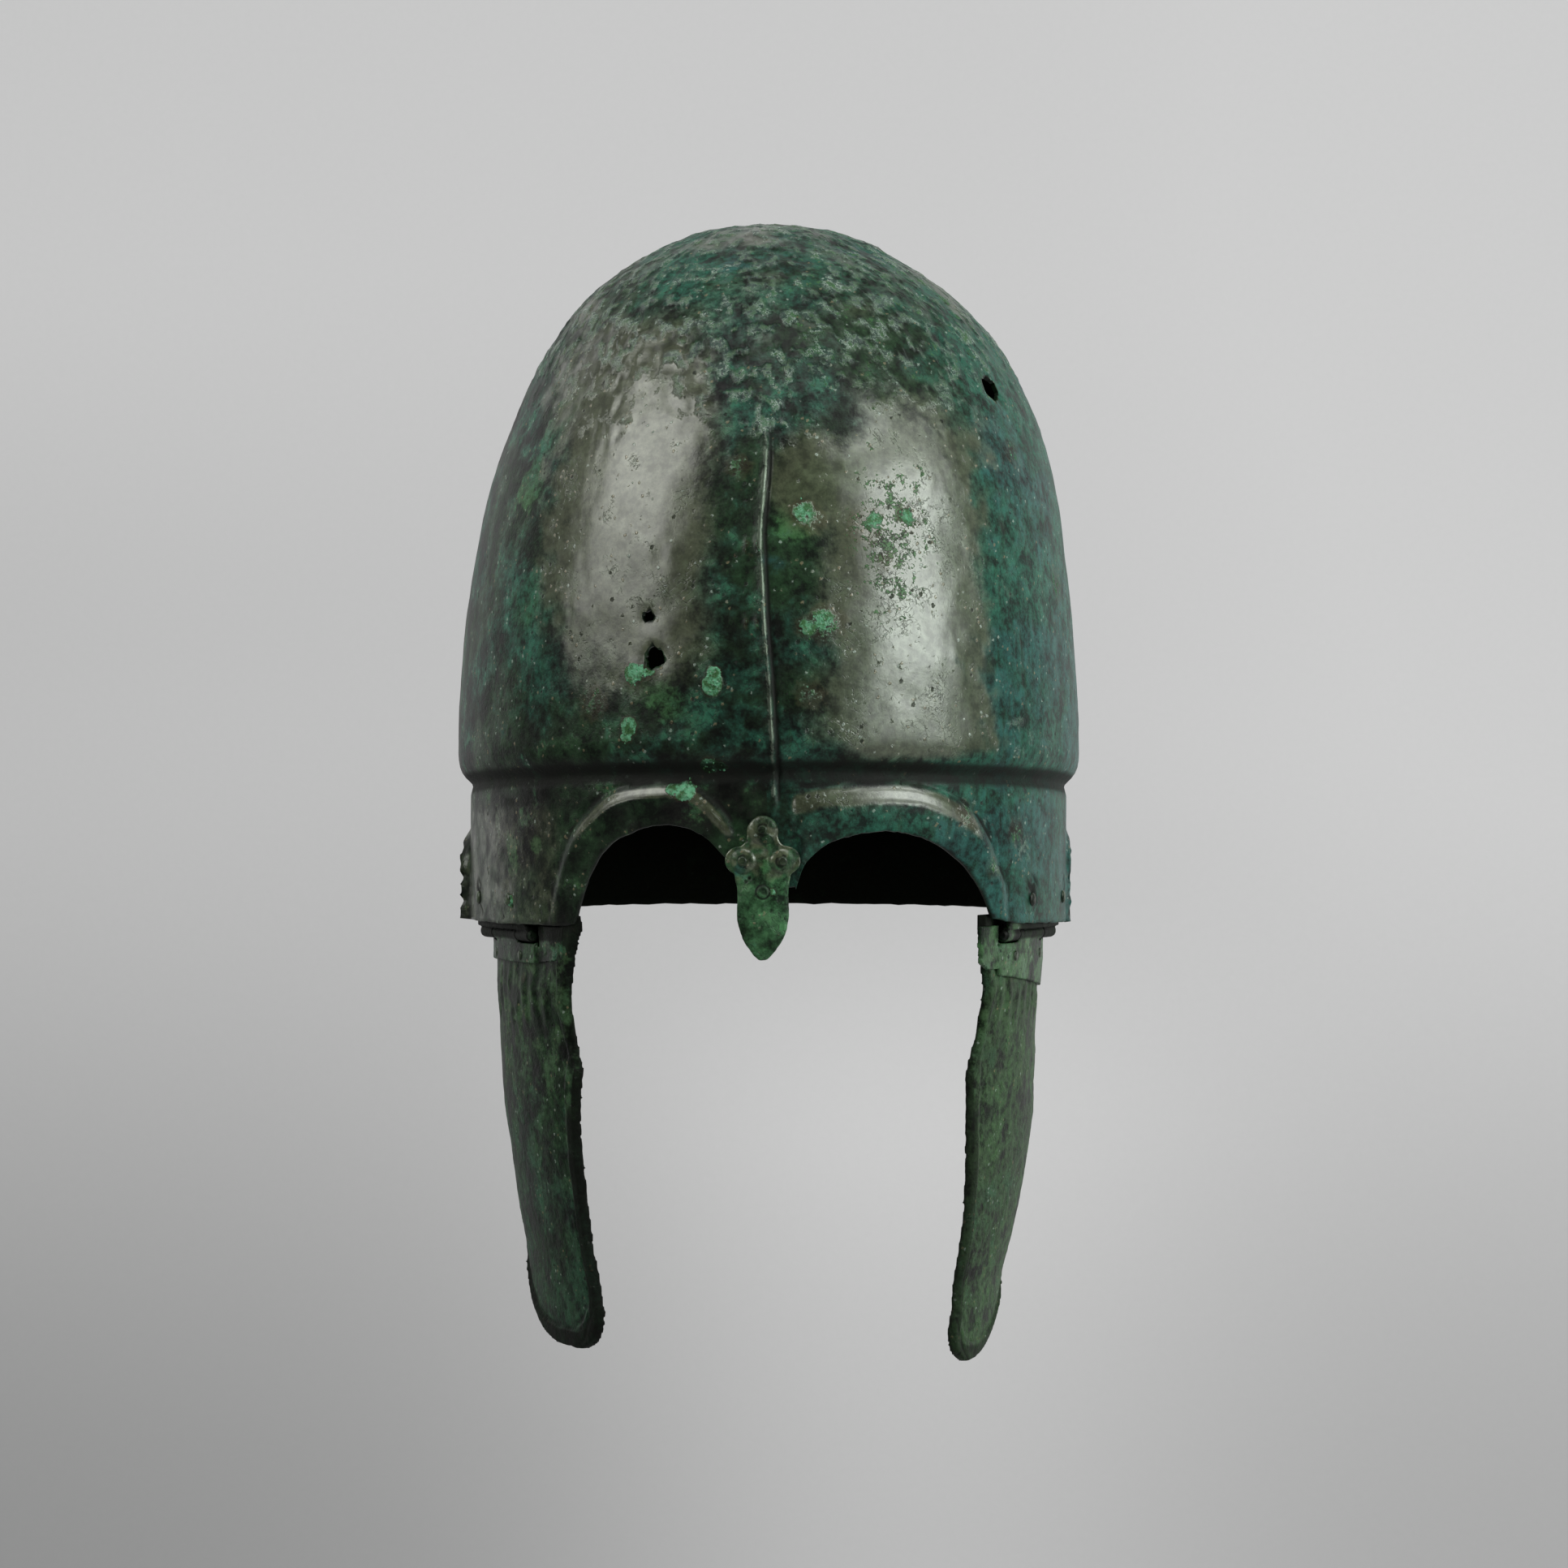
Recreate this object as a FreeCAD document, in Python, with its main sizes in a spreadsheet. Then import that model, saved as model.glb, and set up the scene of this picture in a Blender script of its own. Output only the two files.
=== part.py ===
import FreeCAD, Part
import math
import os
import Sketcher
from FreeCAD import Matrix, Placement, Rotation, Vector

# Chalcidian helmet of sheet bronze, in millimetres. The front faces -Y, +Z is up and
# +X is the wearer's left. The origin is the inside of the crown, where a head carries
# the helmet. Left and right are the wearer's. Each sided piece is worked out on +X and
# mirrored for the wearer's right.

# Driving dimensions. Angles are in degrees, everything else is in millimetres.
SIZES = (
    # Bowl: one raised sheet with a shoulder above the brow
    ("sheet_wall", 1.6),
    ("bowl_half_width", 97.2),
    ("bowl_front_reach", 115.9),
    ("bowl_back_reach", 121.0),
    ("crown_rise", 166.0),
    ("shoulder_tilt", 2.3),
    ("shoulder_step", 3.9),
    ("shoulder_drop", 10.0),
    ("wall_height", 42.0),
    ("nape_inset", 5.0),
    ("guard_flare", 7.0),
    ("keel_half_width", 5.0),
    ("keel_rise", 1.8),
    ("stub_half_width", 14.0),
    ("stub_bottom_rise", 13.0),
    # Eye openings in front view, and the temple between each and its hinge in side view
    ("right_eye_inner", 8.5),
    ("right_eye_height", 31.0),
    ("right_temple_reach", 21.4),
    ("left_eye_inner", 7.2),
    ("left_eye_height", 29.0),
    ("left_temple_reach", 10.6),
    ("brow_rise", 1.2),
    # Lower edge in side view: heights above the lowest point of the temples
    ("right_temple_rear_rise", 0.9),
    ("right_temple_front_rise", 0.9),
    ("right_temple_corner_rise", 1.0),
    ("left_temple_rear_rise", 0.0),
    ("left_temple_front_rise", 1.2),
    ("left_temple_corner_rise", 3.0),
    ("guard_edge_rise", 2.2),
    # Ear openings in side view, and their out-turned rims
    ("ear_front", -12.0),
    ("ear_width", 42.0),
    ("ear_height", 31.0),
    ("ear_rim_thickness", 1.7),
    ("ear_rim_slope_height", 9.0),
    ("right_ear_rim_reach", 3.6),
    ("left_ear_rim_reach", 1.8),
    # Nasal plate, riveted over the stub between the eyes
    ("nasal_centre", -1.3),
    ("nasal_top_drop", 8.6),
    ("nasal_height", 41.6),
    ("nasal_half_width", 10.6),
    ("nasal_thickness", 1.8),
    ("top_lobe_drop", 4.0),
    ("side_lobe_drop", 13.0),
    ("side_lobe_spread", 5.6),
    ("nasal_margin", 0.3),
    ("nasal_head_radius", 1.7),
    ("nasal_head_rise", 1.1),
    # Rivets, and what lies between pieces that touch
    ("seat_gap", 0.1),
    ("seat_lift", 0.06),
    ("shank_radius", 1.0),
    ("shank_gap", 0.05),
    ("tail_radius", 1.6),
    ("tail_rise", 0.8),
    ("hinge_head_radius", 2.0),
    ("hinge_head_rise", 0.9),
    ("cheek_head_radius", 1.6),
    ("cheek_head_rise", 0.6),
    # Hinges: the line through the pin in plan, and the leaves rolled round it
    ("hinge_rear_setback", 9.0),
    ("hinge_front_setback", 45.0),
    ("hinge_inset", 4.4),
    ("hinge_drop", 2.6),
    ("leaf_thickness", 1.2),
    ("leaf_height", 14.0),
    ("leaf_margin", 1.5),
    ("shelf_thickness", 1.0),
    ("shelf_bite", 0.4),
    ("knuckle_radius", 2.0),
    ("end_knuckle_length", 12.0),
    ("knuckle_gap", 0.4),
    ("pin_radius", 0.95),
    ("pin_gap", 0.05),
    ("pin_head_radius", 1.6),
    ("pin_head_rise", 0.6),
    ("hinge_rivet_rise", 8.0),
    ("right_rear_rivet_setback", 13.8),
    ("right_front_rivet_setback", 6.0),
    ("left_rear_rivet_setback", 5.0),
    ("left_front_rivet_setback", 8.7),
    ("cheek_rivet_drop", 6.4),
    ("cheek_rivet_setback", 10.0),
    ("right_leaf_front_drop", 8.5),
    ("right_leaf_rear_drop", 8.5),
    ("left_leaf_front_drop", 12.0),
    ("left_leaf_rear_drop", 17.0),
    # Cheekpieces: the line of the sheet in plan, then the outline in side view
    ("cheek_wall", 1.5),
    ("cheek_rear_setback", 2.0),
    ("cheek_rear_inset", 8.2),
    ("cheek_front_setback", 25.6),
    ("cheek_front_inset", 5.5),
    ("cheek_bow", 7.0),
    ("cheek_lean", 7.6),
    ("cheek_tip_turn", 5.3),
    ("cheek_top_gap", 0.5),
    ("cheek_side_margin", 4.0),
    ("right_cheek_setback", 24.3),
    ("right_cheek_length", 121.0),
    ("left_cheek_setback", 35.0),
    ("left_cheek_length", 126.0),
    ("horn_rise", 9.0),
    ("horn_gap", 1.5),
    ("rim_width", 2.6),
    ("rim_foot_width", 5.0),
    ("rim_rise", 0.8),
    # What is trimmed, and what trims it, runs past the other by this much
    ("overrun", 20.0),
)

# Crown to shoulder: depth below the crown and half width, as shares of the full ones
DOME_SHARES = (
    (0.0015, 0.071),
    (0.006, 0.142),
    (0.015, 0.218),
    (0.03, 0.304),
    (0.06, 0.401),
    (0.108, 0.529),
    (0.214, 0.703),
    (0.336, 0.816),
    (0.488, 0.905),
    (0.67, 0.960),
    (0.851, 0.991),
    (1.0, 1.0),
)
BACK_TUCK_SHARE = 0.03
KEEL_START_SHARE = 0.25
KEEL_FULL_SHARE = 0.6

# Lower wall, from the groove down past the temples: depth as a share of the wall's
# height, then the shares of the nape's inset, the guard's flare and the keel there
WALL_SHARES = (
    (0.0, 0.0, 0.0, 1.0),
    (0.2, 0.7, 0.0, 0.0),
    (0.35, 0.92, 0.0, 0.0),
    (0.7, 0.8, 0.25, 0.0),
    (1.0, 0.6, 1.0, 0.0),
    (1.5, 0.6, 1.2, 0.0),
)

# Edges of the eye openings and of their brow bands, from the nose outwards: the share
# of the eye's width, and the share of its height above the temple's lower edge
RIGHT_EYE_SHARES = (
    (0.0, 0.24), (0.02, 0.52), (0.09, 0.71), (0.25, 0.93), (0.40, 1.0),
    (0.60, 0.95), (0.78, 0.80), (0.91, 0.50), (1.0, 0.05),
)
LEFT_EYE_SHARES = (
    (0.0, 0.40), (0.05, 0.66), (0.19, 0.89), (0.40, 1.0), (0.58, 0.97),
    (0.75, 0.82), (0.88, 0.58), (0.96, 0.32), (1.0, 0.08),
)
RIGHT_BROW_SHARES = (
    (0.02, 1.00), (0.12, 1.19), (0.26, 1.35), (0.45, 1.39), (0.65, 1.36),
    (0.83, 1.24), (0.99, 0.95), (1.08, 0.65), (1.17, 0.0),
)
LEFT_BROW_SHARES = (
    (0.0, 1.38), (0.14, 1.45), (0.36, 1.49), (0.55, 1.48), (0.72, 1.40),
    (0.88, 1.18), (0.99, 0.82), (1.05, 0.50), (1.10, 0.0),
)

# Half outline of the nasal plate, in shares of its half width and of its height: each
# row is an arc, through its first point to its second
NASAL_SHARES = (
    ((0.30, 0.03), (0.42, 0.12)),
    ((0.47, 0.18), (0.62, 0.21)),
    ((1.0, 0.27), (0.78, 0.40)),
    ((0.70, 0.49), (0.70, 0.62)),
    ((0.55, 0.84), (0.16, 0.985)),
    ((0.09, 0.998), (0.0, 1.0)),
)

# Cheekpiece in side view, in shares of its breadth forward of its rear edge and of its
# length below its top edge: arcs from the top of the front edge round to the rear
CHEEK_SHARES = (
    ((0.905, 0.18), (0.935, 0.31)),
    ((0.865, 0.58), (0.86, 0.88)),
    ((0.81, 0.975), (0.66, 1.0)),
    ((0.33, 0.955), (0.12, 0.80)),
    ((0.02, 0.42), (0.0, 0.0)),
)
CHEEK_FRONT_SHARE = 0.97
# Its front top corner stands up behind the temple: shares of the way from the hinge's
# front end to the cheekpiece's front edge, and of the corner's rise
HORN_SHARES = ((0.0, 0.0), (0.25, 1.0), (1.0, 1.0), (1.0, 0.5))
# Heights at which the sheet's plan line is drawn, as shares of the length
CHEEK_LEVEL_SHARES = (-0.15, 0.0, 0.35, 0.7, 1.1)

# Half outline of a rivet's head or tail, in shares of its radius and of its rise
HEAD_SHARES = (0.6, 0.85)

document = FreeCAD.newDocument("helmet")
sheet = document.addObject("Spreadsheet::Sheet", "Sizes")
for row, (alias, value) in enumerate(SIZES, 1):
    sheet.set(f"A{row}", alias)
    sheet.set(f"B{row}", str(value))
    sheet.setAlias(f"B{row}", alias)
document.recompute()


def size(name):
    """A driving dimension, read from the sheet."""
    return float(sheet.get(name))


def term(*names):
    """A sum of driving dimensions, as a formula on the sheet and as its value."""
    return " + ".join(f"Sizes.{name}" for name in names), sum(size(name) for name in names)


def share_of(share, measure):
    """A share of a term, as a formula and as its value."""
    formula, value = measure
    return f"{share} * ({formula})", share * value


# Heights that more than one piece follows
SHOULDER = size("sheet_wall") - size("crown_rise")
GROOVE = SHOULDER - size("shoulder_drop")
TEMPLE_EDGE = GROOVE - size("wall_height")
# The lower wall in plan, which is half an oval in front of the ears
WALL_SIDE = size("bowl_half_width") - size("shoulder_step")
WALL_FRONT = size("bowl_front_reach") - size("shoulder_step")
WALL_BACK = size("bowl_back_reach") * (1 - BACK_TUCK_SHARE) - size("shoulder_step")


def wall_side_at(depth):
    """Half the lower wall's width at a depth in front of the ears."""
    return WALL_SIDE * math.sqrt(1 - (depth / WALL_FRONT) ** 2)


# Where each hinge and cheekpiece starts and ends in side view
HINGE_DEPTH = {
    "rear": size("ear_front") - size("hinge_rear_setback"),
    "front": size("hinge_front_setback") - WALL_FRONT,
}
CHEEK_DEPTH = {
    "rear": size("ear_front") - size("cheek_rear_setback"),
    "left": size("left_cheek_setback") - WALL_FRONT,
    "right": size("right_cheek_setback") - WALL_FRONT,
}
EYE_WIDTH = {
    side: wall_side_at(HINGE_DEPTH["front"] - size(f"{side}_temple_reach")) - size(f"{side}_eye_inner")
    for side in ("left", "right")
}


def oval_arc(side, reach, start, end):
    """An arc of an oval about the Z axis, between two angles."""
    stretch = Matrix()
    stretch.scale(side, reach, 1)
    arc = Part.makeCircle(1, Vector(), Vector(0, 0, 1), start, end)
    return arc.transformGeometry(stretch)


def plan_wire(side, front, back, height, keel, tilt):
    """The helmet's closed outline at one height, with the keel standing out in front."""
    spread = math.degrees(math.asin(size("keel_half_width") / size("bowl_half_width")))
    back_arc = oval_arc(side, back, 0, 180)
    right_arc = oval_arc(side, front, 180, 270 - spread)
    left_arc = oval_arc(side, front, 270 + spread, 360)
    ridge = Vector(0, -front - keel, 0)
    right_flank = Part.makeLine(right_arc.Vertexes[-1].Point, ridge)
    left_flank = Part.makeLine(ridge, left_arc.Vertexes[0].Point)
    wire = Part.Wire([back_arc, right_arc, right_flank, left_flank, left_arc])
    wire.Placement = Placement(Vector(0, 0, height), Rotation(Vector(1, 0, 0), -tilt))
    return wire


def keel_at(depth):
    """The keel's height on the dome: none at the crown, full towards the brow."""
    way = (depth - KEEL_START_SHARE) / (KEEL_FULL_SHARE - KEEL_START_SHARE)
    return size("keel_rise") * min(1, max(0, way))


def dome(grow):
    """Crown to shoulder as a solid, grown outwards from the outer face."""
    crown = size("sheet_wall") + grow
    profiles = [Part.Vertex(0, 0, crown)]
    for depth, width in DOME_SHARES:
        profiles.append(plan_wire(
            width * (size("bowl_half_width") + grow),
            width * (size("bowl_front_reach") + grow),
            width * (size("bowl_back_reach") * (1 - BACK_TUCK_SHARE * depth**4) + grow),
            crown - depth * (crown - SHOULDER),
            keel_at(depth),
            depth * size("shoulder_tilt"),
        ))
    return Part.makeLoft(profiles, True), profiles[-1]


def wall(grow):
    """Groove to below the temples as a solid, grown outwards from the outer face."""
    profiles = []
    for depth, inset, flare, keel in WALL_SHARES:
        profiles.append(plan_wire(
            WALL_SIDE + grow,
            WALL_FRONT + grow,
            WALL_BACK + grow - inset * size("nape_inset") + flare * size("guard_flare"),
            GROOVE - depth * size("wall_height"),
            keel * size("keel_rise"),
            0 if depth else size("shoulder_tilt"),
        ))
    return Part.makeLoft(profiles, True), profiles[0]


def bowl_form(grow):
    """Dome, shoulder step and lower wall as one solid."""
    upper, shoulder_wire = dome(grow)
    lower, groove_wire = wall(grow)
    step = Part.makeLoft([shoulder_wire, groove_wire], True, True)
    return upper.fuse([step, lower])


def oval_block(grow):
    """A solid oval with the plan of the lower wall in front of the ears, grown outwards."""
    halves = [
        oval_arc(WALL_SIDE + grow, WALL_FRONT + grow, start, start + 180) for start in (0, 180)
    ]
    face = Part.Face(Part.Wire(halves))
    face.translate(Vector(0, 0, GROOVE))
    return face.extrude(Vector(0, 0, -size("wall_height") - size("overrun")))


def band(inner, outer):
    """The lower wall in front of the ears, between two distances out from its face."""
    return oval_block(outer).cut(oval_block(inner))


def arcs(start, rows, place):
    """Edges from a start point along rows of (through, to) points, given by shares."""
    edges = []
    for through, end in rows:
        edges.append(Part.Arc(place(start), place(through), place(end)).toShape())
        start = end
    return edges


def front_prism(edges):
    """A closed outline seen from the front, run back to the middle of the helmet."""
    face = Part.Face(Part.Wire(Part.sortEdges(edges)[0]))
    run = size("bowl_front_reach") + size("overrun")
    face.translate(Vector(0, -run, 0))
    return face.extrude(Vector(0, run, 0))


def side_prism(edges):
    """A closed outline seen from the side, run outwards from the middle on +X."""
    face = Part.Face(Part.Wire(Part.sortEdges(edges)[0]))
    return face.extrude(Vector(size("bowl_half_width") + size("overrun"), 0, 0))


def polygon_edges(points):
    """The sides of an open line of points."""
    return [Part.makeLine(first, second) for first, second in zip(points, points[1:])]


def mirrored(shape):
    """The same shape on the wearer's right."""
    return shape.mirror(Vector(), Vector(1, 0, 0))


def on_side(side, shape):
    """A shape worked out on +X, put on its own side."""
    return shape if side == "left" else mirrored(shape)


def arch_prism(side, shares):
    """What lies under an arch over an eye, open at the bottom."""
    base = TEMPLE_EDGE
    points = []
    for across, up in shares:
        x = size(f"{side}_eye_inner") + across * EYE_WIDTH[side]
        points.append(Vector(x, 0, base + up * size(f"{side}_eye_height")))
    curve = Part.BSplineCurve()
    curve.interpolate(points)
    low = base - size("overrun")
    outer_foot = Vector(points[-1].x, 0, low)
    inner_foot = Vector(points[0].x, 0, low)
    edges = [curve.toShape()]
    edges += polygon_edges([points[-1], outer_foot, inner_foot, points[0]])
    return on_side(side, front_prism(edges))


def ear_arch(margin, foot):
    """The ear opening's outline from one foot over the top to the other foot."""
    front = size("ear_front") - margin
    back = size("ear_front") + size("ear_width") + margin
    radius = (back - front) / 2
    spring = TEMPLE_EDGE + size("ear_height") - size("ear_width") / 2
    crown = Vector(0, (front + back) / 2, spring + radius)
    front_top = Vector(0, front, spring)
    back_top = Vector(0, back, spring)
    edges = polygon_edges([Vector(0, front, foot), front_top])
    edges.append(Part.Arc(front_top, crown, back_top).toShape())
    edges += polygon_edges([back_top, Vector(0, back, foot)])
    return edges


def skirt_prism(side):
    """All that is trimmed off below the temple, the ear opening and the neck guard."""
    low = TEMPLE_EDGE - 2 * size("overrun")
    front_end = -size("bowl_front_reach") - size("overrun")
    back_end = size("bowl_back_reach") + size("overrun")
    ear_back = size("ear_front") + size("ear_width")
    rear_edge = TEMPLE_EDGE + size(f"{side}_temple_rear_rise")
    front_edge = TEMPLE_EDGE + size(f"{side}_temple_front_rise")
    corner = TEMPLE_EDGE + size(f"{side}_temple_corner_rise")
    guard = TEMPLE_EDGE + size("guard_edge_rise")
    edges = ear_arch(0, rear_edge)[:2]
    edges.append(Part.makeLine(edges[-1].Vertexes[-1].Point, Vector(0, ear_back, guard)))
    edges += polygon_edges([
        Vector(0, ear_back, guard),
        Vector(0, back_end, guard),
        Vector(0, back_end, low),
        Vector(0, front_end, low),
        Vector(0, front_end, corner),
        Vector(0, HINGE_DEPTH["front"] - size("right_temple_reach"), corner),
        Vector(0, HINGE_DEPTH["front"], front_edge),
        Vector(0, size("ear_front"), rear_edge),
    ])
    return on_side(side, side_prism(edges))


def ear_rim(side):
    """The out-turned rim round an ear opening, dying out over the top."""
    reach = size(f"{side}_ear_rim_reach")
    foot = TEMPLE_EDGE + size(f"{side}_temple_rear_rise")
    outer = ear_arch(size("ear_rim_thickness"), foot)
    inner = ear_arch(0, foot)
    feet = [
        Part.makeLine(outer[0].Vertexes[0].Point, inner[0].Vertexes[0].Point),
        Part.makeLine(outer[-1].Vertexes[-1].Point, inner[-1].Vertexes[-1].Point),
    ]
    rim = side_prism(outer + inner + feet).common(band(-size("sheet_wall"), reach))
    top = TEMPLE_EDGE + size("ear_height") + size("ear_rim_thickness")
    low = top - size("ear_rim_slope_height")
    far = WALL_SIDE + reach + size("overrun")
    front = size("ear_front") - size("overrun")
    slope = Part.Face(Part.makePolygon([
        Vector(WALL_SIDE, front, top),
        Vector(WALL_SIDE + reach, front, low),
        Vector(far, front, low),
        Vector(far, front, top),
        Vector(WALL_SIDE, front, top),
    ]))
    trimmer = slope.extrude(Vector(0, size("ear_width") + 2 * size("overrun"), 0))
    return on_side(side, rim.cut(trimmer))


def wall_place(depth, height):
    """A point on the outer face of the lower wall on +X, and the way out from it."""
    side = wall_side_at(depth)
    way = Vector(side / WALL_SIDE**2, depth / WALL_FRONT**2, 0).normalize()
    return Vector(side, depth, height), way


def brow_place(across, height):
    """A point on the outer face of the lower wall between the eyes, and the way out."""
    depth = -WALL_FRONT * math.sqrt(1 - (across / WALL_SIDE) ** 2)
    way = Vector(across / WALL_SIDE**2, depth / WALL_FRONT**2, 0).normalize()
    return Vector(across, depth, height), way


def flipped(place):
    """A place and its way out, on the wearer's right."""
    point, way = place
    return Vector(-point.x, point.y, point.z), Vector(-way.x, way.y, way.z)


def hole(place, radius):
    """A round hole along a place's way out, clear of both faces of the sheets there."""
    point, way = place
    reach = size("overrun") / 2
    return Part.makeCylinder(radius, 2 * reach, point - way * reach, way)


def rivet_hole(place):
    return hole(place, size("shank_radius") + size("shank_gap"))


# Rivet places, each with its way out, on the faces that the rivets' heads rest on
NASAL_TOP = GROOVE - size("nasal_top_drop")
NASAL_PLACES = {
    "top": brow_place(size("nasal_centre"), NASAL_TOP - size("top_lobe_drop")),
    "right": brow_place(
        size("nasal_centre") - size("side_lobe_spread"), NASAL_TOP - size("side_lobe_drop")
    ),
    "left": brow_place(
        size("nasal_centre") + size("side_lobe_spread"), NASAL_TOP - size("side_lobe_drop")
    ),
}


def hinge_rivet_place(side, end):
    """Where a bowl rivet's head rests, worked out on +X."""
    inwards = -1 if end == "rear" else 1
    depth = HINGE_DEPTH[end] + inwards * size(f"{side}_{end}_rivet_setback")
    return wall_place(depth, TEMPLE_EDGE + size("hinge_rivet_rise"))


HINGE_PLACES = {}
for end in ("rear", "front"):
    HINGE_PLACES["left", end] = hinge_rivet_place("left", end)
    HINGE_PLACES["right", end] = flipped(hinge_rivet_place("right", end))


def nasal_prism(margin):
    """The nasal plate's outline, widened all round by a margin, in front view."""
    half_width = size("nasal_half_width") + margin
    height = size("nasal_height") + 2 * margin

    def place(sign):
        def at(point):
            across = size("nasal_centre") + sign * point[0] * half_width
            return Vector(across, 0, NASAL_TOP + margin - point[1] * height)
        return at

    top = (0.0, 0.0)
    return front_prism(arcs(top, NASAL_SHARES, place(1)) + arcs(top, NASAL_SHARES, place(-1)))


def bowl_shape():
    """The bowl: a hammered sheet with eye, ear and rivet openings."""
    wall_thickness = size("sheet_wall")
    raised = [ear_rim("left"), ear_rim("right")]
    for side, shares in (("left", LEFT_BROW_SHARES), ("right", RIGHT_BROW_SHARES)):
        brow = arch_prism(side, shares).common(band(-wall_thickness, size("brow_rise")))
        raised.append(brow.cut(nasal_prism(size("nasal_margin"))))
    shape = bowl_form(0).fuse(raised).cut(bowl_form(-wall_thickness))
    for side, shares in (("left", LEFT_EYE_SHARES), ("right", RIGHT_EYE_SHARES)):
        shape = shape.cut([skirt_prism(side), arch_prism(side, shares)])
    half_stub = size("stub_half_width")
    stub_bottom = TEMPLE_EDGE + size("stub_bottom_rise")
    below_stub = front_prism(polygon_edges([
        Vector(-half_stub, 0, stub_bottom),
        Vector(half_stub, 0, stub_bottom),
        Vector(half_stub, 0, stub_bottom - size("wall_height")),
        Vector(-half_stub, 0, stub_bottom - size("wall_height")),
        Vector(-half_stub, 0, stub_bottom),
    ]))
    holes = [rivet_hole(place) for place in NASAL_PLACES.values()]
    holes += [rivet_hole(place) for place in HINGE_PLACES.values()]
    return shape.cut([below_stub] + holes)


def nasal_shape():
    """The nasal plate: a leaf under three lobes, lying on the bowl's face."""
    gap = size("seat_gap")
    plate = nasal_prism(0).common(band(gap, gap + size("nasal_thickness")))
    return plate.cut([rivet_hole(place) for place in NASAL_PLACES.values()])


# The hinge pin's line on +X, and the way out from it across the sheet
HINGE_HEIGHT = TEMPLE_EDGE - size("hinge_drop")
HINGE_REAR, HINGE_FRONT = [
    Vector(wall_side_at(HINGE_DEPTH[end]) - size("hinge_inset"), HINGE_DEPTH[end], HINGE_HEIGHT)
    for end in ("rear", "front")
]
HINGE_WAY = (HINGE_REAR - HINGE_FRONT).normalize()
HINGE_OUT = Vector(HINGE_WAY.y, -HINGE_WAY.x, 0)
HINGE_LENGTH = HINGE_REAR.distanceToPoint(HINGE_FRONT)
# Where the cheekpiece's own knuckle starts and ends along the pin
MIDDLE_START = size("end_knuckle_length") + size("knuckle_gap")
MIDDLE_LENGTH = HINGE_LENGTH - 2 * MIDDLE_START


def barrel(radius, start, length):
    """A rod along the hinge pin's line, from a distance behind its front end."""
    return Part.makeCylinder(radius, length, HINGE_FRONT + HINGE_WAY * start, HINGE_WAY)


def hinge_bore():
    bore = size("pin_radius") + size("pin_gap")
    return barrel(bore, -size("overrun"), HINGE_LENGTH + 2 * size("overrun"))


def upper_leaf_shape(side):
    """The bowl's leaf: inside the temple, turned in at its foot to two knuckles."""
    face = -size("sheet_wall") - size("seat_gap")
    shelf_bottom = HINGE_HEIGHT + size("knuckle_radius") - size("shelf_bite")
    top = shelf_bottom + size("leaf_height")
    rear = HINGE_DEPTH["rear"]
    front = HINGE_DEPTH["front"]
    margin = size("leaf_margin")
    leaf = side_prism(polygon_edges([
        Vector(0, rear, shelf_bottom),
        Vector(0, rear, top - margin),
        Vector(0, rear - margin, top),
        Vector(0, front + margin, top),
        Vector(0, front, top - margin),
        Vector(0, front, shelf_bottom),
        Vector(0, rear, shelf_bottom),
    ])).common(band(face - size("leaf_thickness"), face))
    length = size("end_knuckle_length")
    for start in (0, HINGE_LENGTH - length):
        corner = HINGE_FRONT + HINGE_WAY * start
        foot = Vector(corner.x, corner.y, shelf_bottom)
        shelf = Part.Face(Part.makePolygon([
            foot,
            foot + HINGE_WAY * length,
            foot + HINGE_WAY * length + HINGE_OUT * size("overrun") / 2,
            foot + HINGE_OUT * size("overrun") / 2,
            foot,
        ])).extrude(Vector(0, 0, size("shelf_thickness")))
        shelf = shelf.cut(band(face, size("overrun")))
        leaf = leaf.fuse([shelf, barrel(size("knuckle_radius"), start, length)])
    holes = [rivet_hole(hinge_rivet_place(side, end)) for end in ("rear", "front")]
    return on_side(side, leaf.cut([hinge_bore()] + holes))


# The cheekpiece's sheet on +X is an arc in plan, which moves inwards going down
CHEEK_TOP = HINGE_HEIGHT - size("knuckle_radius") - size("cheek_top_gap")
CHEEK_REAR, CHEEK_FRONT = [
    Vector(wall_side_at(depth) - size(f"cheek_{end}_inset"), depth, 0)
    for end, depth in (("rear", CHEEK_DEPTH["rear"]), ("front", size("cheek_front_setback") - WALL_FRONT))
]
CHEEK_CHORD = CHEEK_REAR.distanceToPoint(CHEEK_FRONT)
CHEEK_RADIUS = CHEEK_CHORD**2 / (8 * size("cheek_bow")) + size("cheek_bow") / 2
CHEEK_WAY = (CHEEK_REAR - CHEEK_FRONT).normalize()
CHEEK_OUT = Vector(CHEEK_WAY.y, -CHEEK_WAY.x, 0)
CHEEK_CENTRE = (CHEEK_REAR + CHEEK_FRONT) / 2 - CHEEK_OUT * (CHEEK_RADIUS - size("cheek_bow"))


def cheek_inset(side, drop):
    """How far the sheet has moved inwards at a distance below its top edge."""
    share = drop / size(f"{side}_cheek_length")
    return share * size("cheek_lean") + share * abs(share) * size("cheek_tip_turn")


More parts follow.
